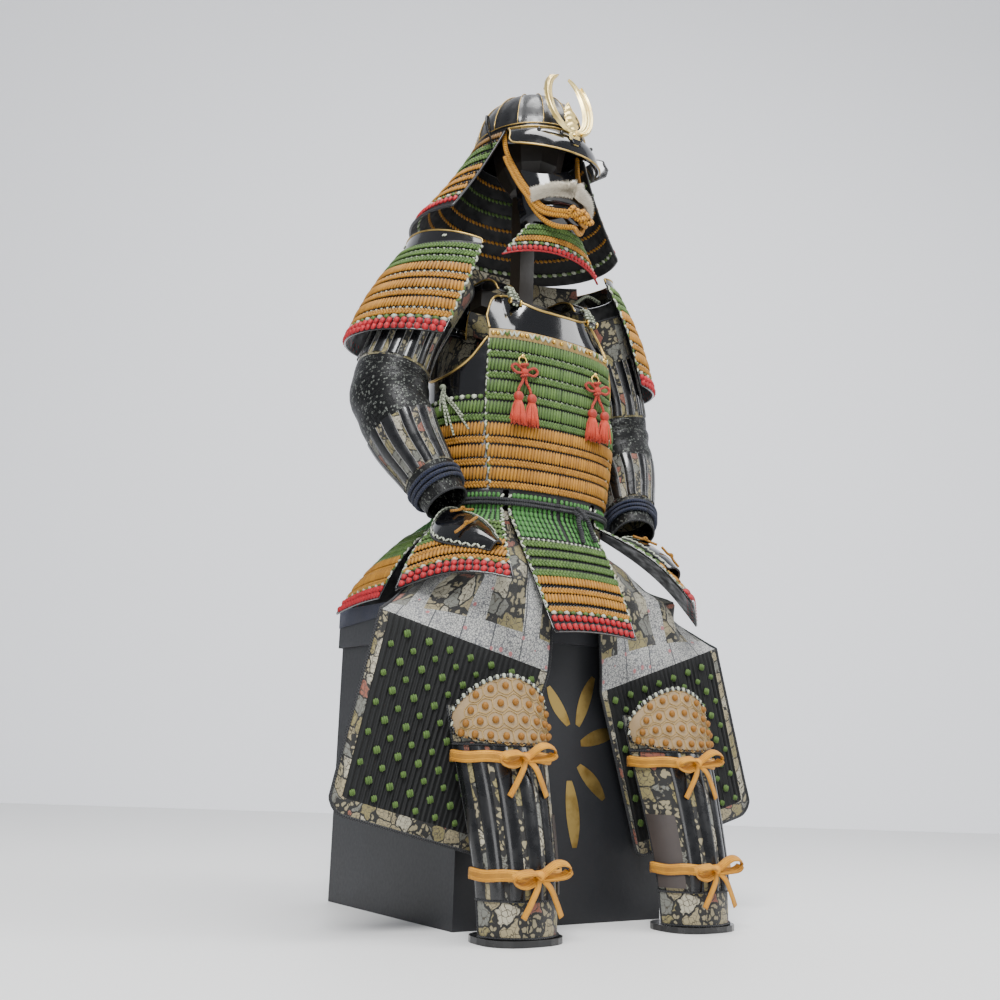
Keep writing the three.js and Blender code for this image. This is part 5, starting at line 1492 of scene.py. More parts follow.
def shoulderPoint(s, angle, v):
    x, y, rx, ry, z = [lerp(a, b, v) for a, b in zip(shoulder["top"], shoulder["low"])]
    x += rx * cosD(angle)
    y += ry * sinD(angle)
    swell = 10 * math.sin(math.pi * clamp(v, 0, 1))
    return Vector((s * (x + swell * cosD(angle)), y + swell * sinD(angle), z + 10 * sinD(angle)))


# A shoulder guard: three green braids, three ochre bands, a white line, and two rows of red blocks
shoulderRows = []
for v in (0.066, 0.151, 0.236):
    shoulderRows += [(0.6, v, 14.5, 6.2, green, 3.4, 2.6, {"kind": "braid"}),
                     (1, v + 0.04, 3, 6.2, white, 0.9, 0.9, {"slant": 0.5, "other": dark})]
for v in (0.325, 0.525, 0.725):
    shoulderRows += [(0.6, v, 22, 6.6, ochre, 3.6, 3.2, {}),
        (1, v + 0.058, 5, 6.6, white, 0.9, 0.9, {"slant": 0.4, "other": dark}),
                     (0.6, v + 0.102, 13, 6.2, ochre, 3.4, 2.6, {"kind": "braid"})]
shoulderRows += [(1, 0.876, 8.5, 15, white, 3.4, 3.4, {"kind": "dots", "other": green})]
shoulderRows += [(0.6, v, 13.5, 14.2, red, 4.4, 5.2, {"kind": "dots"}) for v in (0.918, 0.97)]


def makeShoulders():
    for name, s in sides:
        def away(p):
            return Vector((p[0] - s * 150, p[1], 30))

        def point(u, v):
            return shoulderPoint(s, u, v)
        start, end = shoulder["from"], shoulder["to"]
        plate = surfacePiece("shoulder_panel_" + name, point, steps(start, end, 30), steps(0, 1, 30), away,
            2.5)
        dress(plate, finishes["laced"], ["shoulder_guard_" + name])
        grains = []
        duv = (0.6, 0.01)
        laceRows(grains, point, away, duv, start, end, shoulderRows)
        for u in (start + 0.4, end - 0.4):
            edgeLacing(grains, point, away, u, 0.03, 0.87, 9.5, duv, size=(3.0, 6.4, 2.2))
        dress(grainPiece("shoulder_lacing_" + name, grains, laceFinishes))
        edge = [point(start, v) for v in steps(0.01, 1, 24)] + [point(u, 1) for u in steps(start, end,
            30)][1:-1] \
            + [point(end, v) for v in steps(1, 0.01, 24)]
        dress(tubePiece("shoulder_edge_" + name, [evenly(edge, 6)], 3.8, 3.8, 6, finishes["gloss"]))

        def topPoint(u, v):
            p = shoulderPoint(s, u, 0)
            h = lerp(0.3, max(6, shoulder["rise"] * cosD(u * 0.9)), v)
            return Vector((p.x - s * 0.35 * h * cosD(u), p.y - 0.35 * h * sinD(u), p.z + h))
        top = surfacePiece("shoulder_top_" + name, topPoint, steps(start, end, 36), steps(0, 1, 8), away,
            2.5)
        dress(top, finishes["gloss"], ["shoulder_plate_" + name])
        rim = [topPoint(start, v) for v in (0.1, 0.5, 0.9)] + [topPoint(u, 1) for u in steps(start, end,
            40)] \
            + [topPoint(end, v) for v in (0.9, 0.5, 0.1)]
        dress(tubePiece("shoulder_rim_" + name, [evenly(rim, 4)], 3.6, 3.6, 8, finishes["goldPaint"]))
        grains = []
        for u in (-40, 20):
            laceRow(grains, topPoint, away, u - 2, u + 2, 0.45, 7, 4, white, lift=1.8, duv=(0.6, 0.05),
                slant=0.6, depth=1.4)
        dress(grainPiece("shoulder_top_ties_" + name, grains, laceFinishes))


# Helmet
bowl = {"x": 108, "y": 121, "middle": -60, "base": 1478, "height": 116, "ribs": 14, "hole": 0.9}


def bowlPoint(angle, v, grow=0):
    rise = math.sin(v * math.pi / 2)
    reach = max(0.0, math.cos(v * math.pi / 2)) ** 0.92
    return Vector(((bowl["x"] + grow) * reach * sinD(angle),
        bowl["middle"] - (bowl["y"] + grow) * reach * cosD(angle),
                   bowl["base"] + bowl["height"] * rise))


neck = {"from": 64, "to": 296, "low": (226, 182, -20, 1290)}
peak = {"end": 63, "rimX": 126, "rimMiddle": -80, "rimY": 138, "low": 1412, "endLow": 1432}


def neckPoint(angle, v):
    x, y, middle, z = neck["low"]
    top = Vector((bowl["x"] * sinD(angle), bowl["middle"] - bowl["y"] * cosD(angle), bowl["base"] - 0.3))
    bottom = Vector((x * sinD(angle), middle - y * cosD(angle), z))
    tuck = 7 * math.sin(math.pi * v)
    return top.lerp(bottom, v) + Vector((-tuck * sinD(angle), tuck * cosD(angle), 0))


def peakPoint(angle, v):
    root = Vector((bowl["x"] * sinD(angle), bowl["middle"] - bowl["y"] * cosD(angle), bowl["base"] - 0.3))
    off = angle / peak["end"]
    rim = Vector((peak["rimX"] * sinD(angle), peak["rimMiddle"] - peak["rimY"] * cosD(angle),
                  lerp(peak["low"], peak["endLow"], off * off)))
    swell = math.sin(math.pi * v)
    return root.lerp(rim, v) + Vector((0, -7 * swell, 5 * swell))


def fromBowl(p):
    return Vector((p[0], p[1] - bowl["middle"], 40))


# Radius and height of each ring of the finial, from the bowl up and back down inside
finialLook = {"petals": 12, "profile": [(9, 0.8), (17, -0.6), (26, -1.8), (27.4, -0.4), (26.4, 0.8),
    (19, 3.2), (16, 5.2),
                                        (15.4, 7.4), (13, 8.4), (12.2, 10.8), (10.6, 11.4), (9,
                                            10.8), (8.6, 6), (9, 0.8)]}
# Corners of the left ear plate: root low and high, then tip low and high
earPlate = {"corners": ((121.6, -104.4, 1436), (113.6, -82.4, 1470), (157, -127, 1456), (143, -111, 1500))}
rivetLook = {"angles": (-34, -12, 12, 34), "share": 0.36, "size": (4.2, 4.2, 4.2)}


# The neck guard: six plates laced in brown, green and ochre, a white line and a row of red blocks
neckRows = []
for i, shade in enumerate((brown, green, green, ochre, ochre, ochre)):
    v = 0.02 + 0.135 * i
    neckRows += [(0, v + 0.05, 15, 6.4, shade, 3.4, 2.6,
        {"kind": "braid" if shade == green else "upright"}),
                 (0, v + 0.118, 4, 6.4, dark, 1.6, 1.4, {"slant": 0.5, "other": shade})]
neckRows += [(0, 0.838, 7.5, 12, white, 3.4, 3.2, {"kind": "dots", "other": green}),
    (0, 0.905, 15, 10.5, red, 4.2, 4.6, {"kind": "dots"})]
neckInside = [(1, 0.1 + 0.135 * i, 5.5, 9.5, shade, 1.2, 1.2, {"slant": 0.7})
              for i, shade in enumerate((ochre, green, green, ochre, ochre, ochre))]
neckInside += [(1, 0.91, 7, 11, white, 1.2, 1.2, {"slant": 0.4, "other": green})]


def makeHelmet():
    def point(u, v):
        turn = (u / 360 * bowl["ribs"]) % 1
        step = 2.2 * (1 - min(1, min(turn, 1 - turn) * 9)) * (1 - smoothstep(v, 0.72,
            0.88)) * smoothstep(v, 0.03, 0.08)
        return bowlPoint(u, v) + fromBowl(bowlPoint(u, v)).normalized() * (step
            + 0.6 * math.sin(math.pi * turn))
    shell = surfacePiece("helmet_shell", point, steps(0, 360, 168), steps(0, bowl["hole"], 30), fromBowl,
        3, closed=True)
    dress(shell, finishes["satin"], ["helmet_bowl"])
    ways = []
    for i in range(bowl["ribs"]):
        angle = 360 / bowl["ribs"] * i
        ways.append([point(angle, v) + fromBowl(point(angle, v)).normalized() * 0.5 for v in steps(0.05,
            0.84, 24)])
    lines = tubePiece("helmet_rib_lines", ways, 1.7, 1.7, 6, finishes["goldPaint"])
    dress(lines)
    ring = [bowlPoint(u, 0.035, 2.6) for u in steps(0, 360, 90)[:-1]]
    dress(tubePiece("helmet_base_line", [ring], 2.2, 2.2, 8, finishes["goldPaint"], closed=True))

    # finial: turned rings and petals round the hole in the crown
    top = bowl["base"] + bowl["height"] + 0.6
    profile = finialLook["profile"]

    def turnedPoint(u, k):
        r, h = profile[int(round(k))]
        wavy = 1 + (0.045 * math.cos(math.radians(u) * finialLook["petals"]) if r > 20 else 0)
        return Vector((r * wavy * sinD(u), bowl["middle"] - r * wavy * cosD(u), top + h))
    finial = surfacePiece("finial_gilt", turnedPoint, steps(0, 360, 72), list(range(len(profile))),
                          lambda p: Vector((0, 0, 1)) if (Vector((p[0],
                              p[1] - bowl["middle"])).length > 14) else Vector((0, 0, -1)), closed=True)
    choose(finial)
    bpy.ops.object.mode_set(mode="EDIT")
    bpy.ops.mesh.select_all(action="SELECT")
    bpy.ops.mesh.normals_make_consistent(inside=False)
    bpy.ops.object.mode_set(mode="OBJECT")
    dress(finial, finishes["gilt"], ["helmet_finial"])

    def overPeak(p):
        return Vector((0, -1, 1))
    visor = surfacePiece("peak_visor", peakPoint, steps(-peak["end"], peak["end"], 60), steps(0, 1, 14),
        overPeak, 3)
    socket = crestBlock(20, 8, 12, -12.3, "socket", 0.8)
    both = joinedPieces("peak_visor", [visor, socket])
    dress(both, finishes["gloss"], ["helmet_peak"])
    edge = [peakPoint(-peak["end"] + 0.6, v) for v in steps(0.12, 0.86, 8)] + [peakPoint(-peak["end"] + 3,
        0.97)] \
        + [peakPoint(u, 1) for u in steps(-peak["end"] + 6, peak["end"] - 6, 60)] \
        + [peakPoint(peak["end"] - 3, 0.97)] + [peakPoint(peak["end"] - 0.6, v) for v in steps(0.86, 0.12,
            8)] \
        + [peakPoint(u, 0.05) for u in steps(peak["end"] - 2, -peak["end"] + 2, 60)]
    edge = [p + Vector((0, -0.7, 0.7)) for p in edge]
    dress(tubePiece("peak_rim", [evenly(edge, 3)], 3.4, 3.4, 8, finishes["goldPaint"], closed=True))
    rivets = []
    for angle in rivetLook["angles"]:
        p = peakPoint(angle, rivetLook["share"])
        n = normalAt(peakPoint, overPeak, angle, rivetLook["share"], 0.5, 0.01)
        rivets.append(knob("rivet", p + n * 0.8, rivetLook["size"], finishes["gloss"]))
    dress(joinedPieces("peak_rivets", rivets))

    # ear plates: black lacquered horns that curl forward
    for name, s in sides:
        a, b, c, d = [Vector((s * p[0], p[1], p[2])) for p in earPlate["corners"]]

        def ear(u, v):
            p = a.lerp(b, v).lerp(c.lerp(d, v), u)
            tip = smoothstep(u, 0.72, 1) * 0.5
            middle = a.lerp(b, 0.5).lerp(c.lerp(d, 0.5), u)
            p = p.lerp(middle, tip)
            return p + Vector((0, -math.sin(math.pi * u * 0.8) * 5 - 4 * (v - 0.5) ** 2, 0))
        horn = surfacePiece("ear_horn_" + name, ear, steps(0, 1, 16), steps(0, 1, 12),
            lambda p: Vector((0, -1, 0.2)), 2.4)
        dress(horn, finishes["gloss"], ["ear_plate_" + name])
        rim = [ear(0, v) for v in steps(0, 1, 6)] + [ear(u, 1) for u in steps(0.1, 0.95, 8)] + [ear(1,
            v) for v in steps(1, 0, 6)] \
            + [ear(u, 0) for u in steps(0.95, 0.1, 8)]
        dress(tubePiece("ear_rim_" + name, [evenly(rim, 3)], 2.6, 2.6, 6, finishes["edge"], closed=True))

    # neck guard: plates laced in brown, green and ochre outside, black inside with the laces' backs
    across = steps(neck["from"], neck["to"], 96)
    shell = surfacePiece("neck_guard_shell", neckPoint, across, steps(0, 1, 24), fromBowl, 2.5)
    dress(shell, finishes["laced"], ["neck_guard"])
    grains = []
    duv = (0.6, 0.01)
    start, end = neck["from"] + 0.6, neck["to"] - 0.6
    laceRows(grains, neckPoint, fromBowl, duv, start, end, neckRows)
    dress(grainPiece("neck_guard_lacing", grains, laceFinishes))
    grains = []

    def inside(u, v):
        p = neckPoint(u, v)
        return p - fromBowl(p).normalized() * 2.9

    def inwards(p):
        return -fromBowl(p)
    laceRows(grains, inside, inwards, duv, start, end, neckInside)
    dress(grainPiece("neck_guard_inside", grains, laceFinishes))
    edge = [neckPoint(neck["from"], v) for v in steps(0.02, 1, 16)] + [neckPoint(u,
        1) for u in across[1:-1]] \
        + [neckPoint(neck["to"], v) for v in steps(1, 0.02, 16)]
    dress(tubePiece("neck_guard_edge", [evenly(edge, 6)], 5, 5, 8, finishes["edge"]))


crest = {"tilt": 16, "foot": (0, -209, 1451), "sheet": 1.6}


def onCrest(x, y, z):
    a = math.radians(crest["tilt"])
    fx, fy, fz = crest["foot"]
    return Vector((x + fx, y * math.cos(a) + z * math.sin(a) + fy, -y * math.sin(a) + z * math.cos(a) + fz))


def crestBlock(width, depth, height, middle, name, bevel):
    deselectAll()
    bpy.ops.mesh.primitive_cube_add(size=1)
    piece = bpy.context.object
    piece.name = name
    for corner in piece.data.vertices:
        corner.co = onCrest(corner.co.x * width, corner.co.y * depth, middle + corner.co.z * height) * 0.001
    applied(piece, "BEVEL", width=bevel * 0.001, segments=2)
    return piece


# Crest: gold sheet blades with fine barbs, cupped and veined, round a toothed leaf
def makeCrest():
    parts = []

    def blade(s, inner, outer, start, end, bow, teeth):
        def point(u, v):
            a = lerp(start, end, v)
            fade = math.sin(math.pi * clamp(v * 0.94 + 0.05, 0, 1)) ** 0.6
            tooth = 1 - 0.05 * abs(math.sin(v * math.pi * teeth)) if u > 0.99 else 1
            rx = lerp(inner[0], outer[0] * tooth, lerp(0.5, u, fade))
            rz = lerp(inner[1], outer[1] * tooth, lerp(0.5, u, fade))
            vein = 0.7 * math.sin(u * math.pi * 5 + v * 2)
            return onCrest(s * (rx * cosD(a) + 2), -bow * math.sin(math.pi * u) + vein, 86 + rz * sinD(a))
        return surfacePiece("blade", point, steps(0, 1, 16), steps(0, 1, 60),
            lambda p: Vector((0, -1, 0.3)), 1.2, angle=50)
    for s in (-1, 1):
        parts.append(blade(s, (33, 60), (56, 84), -86, 76, 5, 11))
        parts.append(blade(s, (45, 72), (58, 86), -72, 44, 8.5, 7))

    def leaf(u, v):
        tooth = 0.72 + 0.28 * abs(math.cos(v * math.pi * 6))
        half = 17 * math.sin(math.pi * (0.12 + 0.86 * v)) ** 0.8 * (tooth if abs(u) > 0.7 else 1)
        return onCrest(u * half, -3 * (1 - u * u) - 0.5 * math.cos(v * math.pi * 12 + abs(u) * 5),
            5 + 85 * v)
    parts.append(surfacePiece("leaf", leaf, steps(-1, 1, 12), steps(0, 1, 72),
        lambda p: Vector((0, -1, 0.3)), 1.2, angle=50))
    parts.append(crestBlock(26, 1.8, 16, 0, "foot", 0.5))
    parts.append(crestBlock(12.4, 1.6, 13, -12.4, "tongue", 0.4))
    piece = joinedPieces("crest_gold", parts)
    dress(piece, finishes["sheetGold"], ["crest"], body="crest")


# Half mask: a plain lacquered face guard, nose and lips only
mask = [(1276, 60, -176), (1292, 66, -194), (1306, 70, -199), (1316, 72, -195), (1326, 74, -200),
    (1342, 76, -198), (1392, 78, -186)]
maskBack = -104


def maskPoint(angle, z):
    half, front = readTable(mask, 1, z), readTable(mask, 2, z)
    y = maskBack - (maskBack - front) * max(0.0, cosD(angle)) ** 0.85
    nose = max(0, 1 - abs(angle) / 15) * max(0, 1 - abs(z - 1358) / 34)
    nose = nose * nose * (3 - 2 * nose)
    return Vector((half * sinD(angle), y - 20 * nose, z))


def fromMask(p):
    return Vector((p[0], p[1] - maskBack, 0))


chinCords = {
    "upper": [(92, -100, 1484), (90, -106, 1440), (76, 1386, 6, 0), (64, 1348, 5.6, 0), (46, 1305, 6.4, 0),
        (28, 1294, 9, 0),
              (12, 1292, 15, 0)],
    "lower": [(70, 1366, 5.6, 0), (60, 1318, 6.4, 0), (44, 1284, 10, 0), (22, 1266, 20, 0)],
    "knot": (8, -217, 1290), "meet": (0, -212, 1262), "thick": 9.4,
}


def chinWay(s, spots, last):
    way = []
    for spot in spots:
        if len(spot) == 4:
            a, z, d, _ = spot
            way.append(maskPoint(s * a, z) + Vector((s * sinD(a), -cosD(a), 0)) * d)
        else:
            way.append(Vector((s * spot[0], spot[1], spot[2])))
    return evenly(catmull(way + [Vector(last)], 12), 1.8)


def makeCords():
    thick = chinCords["thick"]
    ways = {}
    for name, s in sides:
        for label, last in (("upper", chinCords["knot"]), ("lower", chinCords["meet"])):
            way = chinWay(s, chinCords[label], last)
            ways[name, label] = way
            replaced = ["chin_cord"] if (name, label) == ("right", "upper") else []
            piece = tubePiece("chin_cord_{}_{}".format(label, name), [way], thick, thick, 12,
                finishes["ochreCord"], ridge=0.1, pitch=8.0)
            dress(piece, None, replaced)
            declareCord(way)
    # the tied knot: four soft loops round each other under the chin
    x, y, z = chinCords["knot"]
    loops = []
    for dx, dz, lean in ((-12, 3, 1), (0, -2, -1), (12, 2, 1), (22, -4, -1)):
        ring = [Vector((x + dx + 9 * cosD(a), y + 1.5 + 3.5 * sinD(2 * a),
            z + dz + 7.5 * sinD(a) + lean * 2 * cosD(a))) for a in range(0, 360, 12)]
        loops.append(ring)
    knot = tubePiece("chin_knot", loops, thick, thick, 12, finishes["ochreCord"], ridge=0.1, pitch=8.0,
        closed=True)
    dress(knot)
    doubles = []
    for name, s in sides:
        way = [p + Vector((s * 3.6, 3, -8.0)) for p in ways[name, "upper"][30:-8]]
        doubles.append(way[::2])
    dress(tubePiece("chin_cord_doubles", doubles, 8.8, 8.8, 10, finishes["ochreCord"], ridge=0.1,
        pitch=8.0))


# reach in degrees, hairs 12 to 20 mm long
moustache = {"hairs": 7600, "reach": 54, "z": 1340, "short": 12, "more": 8}


throatRows = [(0, v, 12, 6, green, 2.6, 2.4, {"kind": "braid"}) for v in (0.13, 0.33)]
throatRows += [(0, 0.55, 12, 6, ochre, 3.0, 2.4, {"kind": "braid"}),
    (0, 0.73, 6.5, 11, white, 3.0, 2.8, {"kind": "dots", "other": green}),
               (0, 0.89, 10.5, 10.5, red, 3.4, 4.0, {"kind": "dots"})]


def makeFace():
    def point(u, v):
        edge = 1390 - 16 * math.sin(math.pi * min(1, abs(u) / 70))
        return maskPoint(u, lerp(1276, edge, v))
    guard = surfacePiece("face_guard", point, steps(-80, 80, 72), steps(0, 1, 44), fromMask, 2.5)
    dress(guard, finishes["gloss"], ["face_mask"])
    lips = []
    for k, drop in ((1, 0), (-1, 7)):
        lips.append([maskPoint(a, 1318 - drop - 3.4 * k * cosD(a * 3.2))
            + fromMask(maskPoint(a, 1318)).normalized() * 0.9 for a in steps(-27, 27, 24)])
    dress(tubePiece("lip_line", lips, 3.4, 2.6, 8, finishes["lip"],
        taper=lambda t: 0.35 + 0.65 * math.sin(math.pi * t)))

    # moustache: bleached fur in tufts that lie outwards from the middle
    spots, faces, tints = [], [], []
    for _ in range(moustache["hairs"]):
        a = moustache["reach"] * (2 * random.random() - 1)
        spread = random.random()
        z = moustache["z"] - 12 * (a / 52) ** 2 + 19 * (spread - 0.5) * (1 - 0.35
            * abs(a) / moustache["reach"])
        n = fromMask(maskPoint(a, z)).normalized()
        root = maskPoint(a, z) + n * (1.2 + 2.0 * random.random())
        side = Vector((0, 0, 1)).cross(n).normalized()
        sign = 1 if a > 0 else -1
        if side.x * sign < 0:
            side = -side
        length = moustache["short"] + moustache["more"] * random.random()
        fan = (spread - 0.5) * 1.7
        way = (n * (0.8 + 0.35 * random.random()) + side * 0.55
            + Vector((0, 0, -0.32 + fan * 0.9))).normalized()
        tip = root + way * length + Vector((0, 0, -2.2))
        across = way.cross(Vector((0, 0, 1))).normalized() * 0.5
        lift = way.cross(across).normalized() * 0.5
        middle = root.lerp(tip, 0.5) + n * 0.8
        start = len(spots)
        spots += [root + across, root - across * 0.5 + lift, root - across * 0.5 - lift,
                  middle + across * 0.7, middle - across * 0.35 + lift * 0.7,
                  middle - across * 0.35 - lift * 0.7, tip]
        shade = 0.35 + 0.6 * random.random()
        # painted shade: the three root corners of each hair take half its tint, so the tuft is darker at its base
        tints += [shade * 0.5] * 3 + [shade] * 4
        for k in range(3):
            m = (k + 1) % 3
            faces.append((start + k, start + m, start + 3 + m, start + 3 + k))
            faces.append((start + 3 + k, start + 3 + m, start + 6))
    fur = meshPiece("moustache_fur", spots, faces, [finishes["fur"]], tints=tints)
    core = tubePiece("moustache_core",
        [[maskPoint(a, moustache["z"] - 12 * (a / 52) ** 2)
            + fromMask(maskPoint(a, moustache["z"])).normalized() * 3.4
                                         for a in steps(-50, 50, 24)]], 8, 5, 8, finishes["fur"],
                     up=lambda p: fromMask(p), taper=lambda t: 0.5 + 0.5 * math.sin(math.pi * t))
    # painted shade: the core under the hairs takes a darker fur tone, like the hairs' roots
    core.data.attributes.new("tint", "FLOAT", "POINT").data.foreach_set("value",
        [0.4] * len(core.data.vertices))
    dress(joinedPieces("moustache_fur", [fur, core]), None, ["moustache"])

    def throat(u, v):
        top = Vector((88 * sinD(u), -96 - 78 * cosD(u), 1275.6))
        low = Vector((168 * sinD(u), -62 - 112 * cosD(u), 1219 - 19 * (u / 44) ** 2))
        return top.lerp(low, v)

    def outwards(p):
        return Vector((p[0], p[1], 0))
    plate = surfacePiece("throat_guard_plate", throat, steps(-44, 44, 48), steps(0, 1, 16), outwards, 2.5)
    dress(plate, finishes["satin"], ["throat_guard"])
    grains = []
    duv = (0.5, 0.02)
    laceRows(grains, throat, outwards, duv, -43, 43, throatRows)
    for u in (-43.4, 43.4):
        edgeLacing(grains, throat, outwards, u, 0.03, 0.8, 7, duv)
    dress(grainPiece("throat_guard_lacing", grains, laceFinishes))
    edge = [throat(u, 1) for u in steps(-44, 44, 40)]
    dress(tubePiece("throat_guard_edge", [edge], 3.6, 3.6, 6, finishes["red"]))


# Shoulder straps with their toggles, and the cords that hang the guards and sleeves from them
strap = {"wide": 44, "thick": 6, "top": 1168, "x": 92}


# Side view of a strap, from the chest plate over the shoulder to the back plate
strapWay = ((-128, 1134), (-112, 1154), (-84, 1166), (-50, strap["top"]), (-10, strap["top"]), (20, 1160),
    (38, 1140),
            (43, 1112), (43, 1090))
toggle = {"y": -155.6, "z": 1106, "bar": (13, 6, 6), "cap": (2.6, 6.4, 6.4), "side": 11.6, "cord": 5.4}
strapCords = {"hanger": 7.6, "sleeve": 6.0}


def makeStraps():
    for name, s in sides:
        x = s * strap["x"]
        high = strap["top"]
        line = evenly(catmull([(x, y, z) for y, z in strapWay], 8), 4)
        band = tubePiece("strap_body_" + name, [line], strap["wide"], strap["thick"], 14,
            finishes["gloss"], up=lambda p: Vector((0, 0, 1)))
        edges = []
        for k in (-1, 1):
            edges.append([p + Vector((k * strap["wide"] * 0.46, 0, 1.4)) for p in line])
        lacing = tubePiece("strap_edges_" + name, edges, 4.4, 4.4, 6, finishes["goldPaint"])
        dress(band, None, ["shoulder_strap_" + name])
        dress(lacing)
        ties = []
        for k in (-1, 1):
            ties.append(evenly(catmull([(x + k * 4, -126, 1142), (x + k * 4, -139, 1139),
                (x + k * 4.4, -149, 1121), (x + k * 3.4, -157, 1098)], 8), 2))
        for dz in (0, 7, 14):
            ring = [Vector((x + 9 * cosD(a), -146.5 - dz * 0.55 - 5.5 * sinD(a),
                1124 - dz)) for a in range(0, 360, 15)]
            ties.append(ring)
        cords = tubePiece("toggle_cord_" + name, ties, toggle["cord"], toggle["cord"], 8,
            finishes["paleCord"], ridge=0.06)
        bar = knob("toggle", (x, toggle["y"], toggle["z"]), toggle["bar"], finishes["gloss"], 16, 10)
        caps = [knob("cap", (x + k * toggle["side"], toggle["y"], toggle["z"]), toggle["cap"],
            finishes["gilt"], 14, 8)
                for k in (-1, 1)]
        dress(cords)
        dress(joinedPieces("toggle_" + name, [bar] + caps))
        guard = shoulderPoint(s, -4, 0)
        hanger = evenly(catmull([(s * 104, -30, high), (s * 150, -28, 1202), (s * 188, -20, 1230),
            (guard.x - s * 12, guard.y + 2, 1228)], 8), 2.5)
        rim = sleevePoint(s, 270, 0)
        sleeveTie = evenly(catmull([(s * 106, -18, high), (rim.x - s * 3, rim.y + 12, rim.z + 12),
            (rim.x, rim.y + 12, rim.z + 2)], 8), 2.5)
        for label, line, thick in (("hanger_cord_", hanger, strapCords["hanger"]),
            ("sleeve_cord_", sleeveTie, strapCords["sleeve"])):
            piece = tubePiece(label + name, [line], thick, thick, 10, finishes["paleCord"], ridge=0.08)
            dress(piece)
            declareCord(line)


ring = {"x": 86, "z": 985, "radius": 8.5, "bar": 1.7}


# Two tassels hang from each ring, this far to each side of it. Strand count is for one tassel.
tassel = {"side": 15, "head": 912, "end": 858, "strands": 60, "strand": 2.7, "cord": 5.0}


def makeTassels():
    for name, s in sides:
        surface = torsoPoint(s * 23, ring["z"]).y
        x = s * ring["x"]
        front = surface - 4.7
        hoop = [Vector((x + ring["radius"] * sinD(a), front - 0.2,
            ring["z"] + ring["radius"] * cosD(a))) for a in range(0, 360, 10)]
        gold = tubePiece("breast_hoop_" + name, [hoop], 3.4, 3.4, 8, finishes["gilt"], closed=True)
        post = knob("post", (x, front - 1.4, ring["z"] + ring["radius"] + 1), (4.4, 3.2, 4.4),
            finishes["gilt"])
        dress(joinedPieces("breast_hoop_" + name, [gold, post]), None, ["breast_ring_" + name])

        def at(dx, dy, z):
            return Vector((x + dx, front + dy, z))
        ways = [evenly(catmull([at(-2, -2.6, 979), at(-3, -5, 972), at(-1, -7, 962)], 8), 1.8),
                evenly(catmull([at(2, -2.6, 979), at(3, -5, 972), at(1, -7, 962)], 8), 1.8)]
        for k in (-1, 1):
            ways.append(evenly(catmull([at(k * 2, -7, 964), at(k * 20, -9, 973), at(k * 29, -8, 967),
                at(k * 20, -9, 958), at(k * 2, -7, 960)], 8), 1.8))
            ways.append(evenly(catmull([at(k * 1.6, -7, 960), at(k * 4, -8, 944), at(k * 12, -9, 930),
                at(k * tassel["side"], -10, 917)], 8), 1.8))
        for z in (976, 955):
            ways.append([at(6 * cosD(a), -7 + 5 * sinD(a), z + 1.5 * cosD(a)) for a in range(0, 390, 15)])
        cords = tubePiece("tassel_cord_" + name, ways, tassel["cord"], tassel["cord"], 8,
            finishes["redCord"], ridge=0.08)
        knots = [knob("knot", at(0, -7, 962), (8, 7, 8), finishes["redCord"])]
        for k in (-1, 1):
            knots.append(knob("head", at(k * tassel["side"], -12, tassel["head"]), (9.6, 8.6, 10),
                finishes["redSilk"]))
        dress(joinedPieces("tassel_cord_" + name, [cords] + knots), None, ["breast_tassel_" + name])
        # skirts of the two tassels, with their strands fused in the head
        ways = []
        count = tassel["strands"]
        for k in (-1, 1):
            for i in range(count):
                a = 360 * i / count * 7 + 20 * random.random()
                out = 0.35 + 0.65 * ((i * 37) % count) / count
                cx, cy = cosD(a), sinD(a)
                drop = tassel["end"] + 10 * random.random()
                sway = 3 * (random.random() - 0.5)
                ways.append([at(k * tassel["side"] + cx * wide * out + lean, -12 + cy * deep * out, z)
                             for wide, deep, lean, z in ((4, 3.6, 0, 909), (11.5, 7.4, 0, 893), (14, 7.6, sway, 876),
                                                         (16.5, 7.4, sway, drop))])
        strands = tubePiece("tassel_strands_" + name, ways, tassel["strand"], tassel["strand"], 4,
            finishes["redSilk"])
        strands.data.attributes.new("tint", "FLOAT", "POINT")
        strands.data.attributes["tint"].data.foreach_set("value",
            [0.15 + 0.8 * ((i // 16) * 0.618 % 1) for i in range(len(strands.data.vertices))])
        dress(strands)


sideTie = {"place": (-198.6, -84, 934),
    "strands": ((16, 96, 14), (28, 60, -8), (6, 78, 22), (36, 84, 4), (-4, 50, 30))}


def makeSideTie():
    x, y, z = sideTie["place"]
    knot = knob("side_tie_knot", (x, y, z), (6.4, 6.4, 5.8), finishes["paleCord"])
    dress(knot, None, ["side_tie"])
    for i, (dx, drop, dy) in enumerate(sideTie["strands"]):
        way = [(x, y - 6, z - 3), (x - 8 + dx * 0.3, y - 8 - dy * 0.2, z - drop * 0.25),
            (x - 8 + dx * 0.6, y - 12 - dx * 0.5, z - drop * 0.6),
               (x - 6 + dx, y - 14 - dx * 0.9, z - drop)]
        line = evenly(catmull(way, 10), 1.6)
        piece = tubePiece("side_tie_strand_{}".format(i + 1), [line], 3.8, 3.8, 8, finishes["paleCord"],
            ridge=0.08, pitch=6)
        dress(piece)
        declareCord(line)


sash = {"offset": 4.4, "middle": 720, "cord": 7.2, "knot": (43, 714)}


sashEnds = (((38, -196, 712), (34, -199, 694), (36, -205, 676), (34, -213, 656)),
            ((50, -196, 712), (58, -199, 696), (62, -203, 680), (65, -211, 662)))


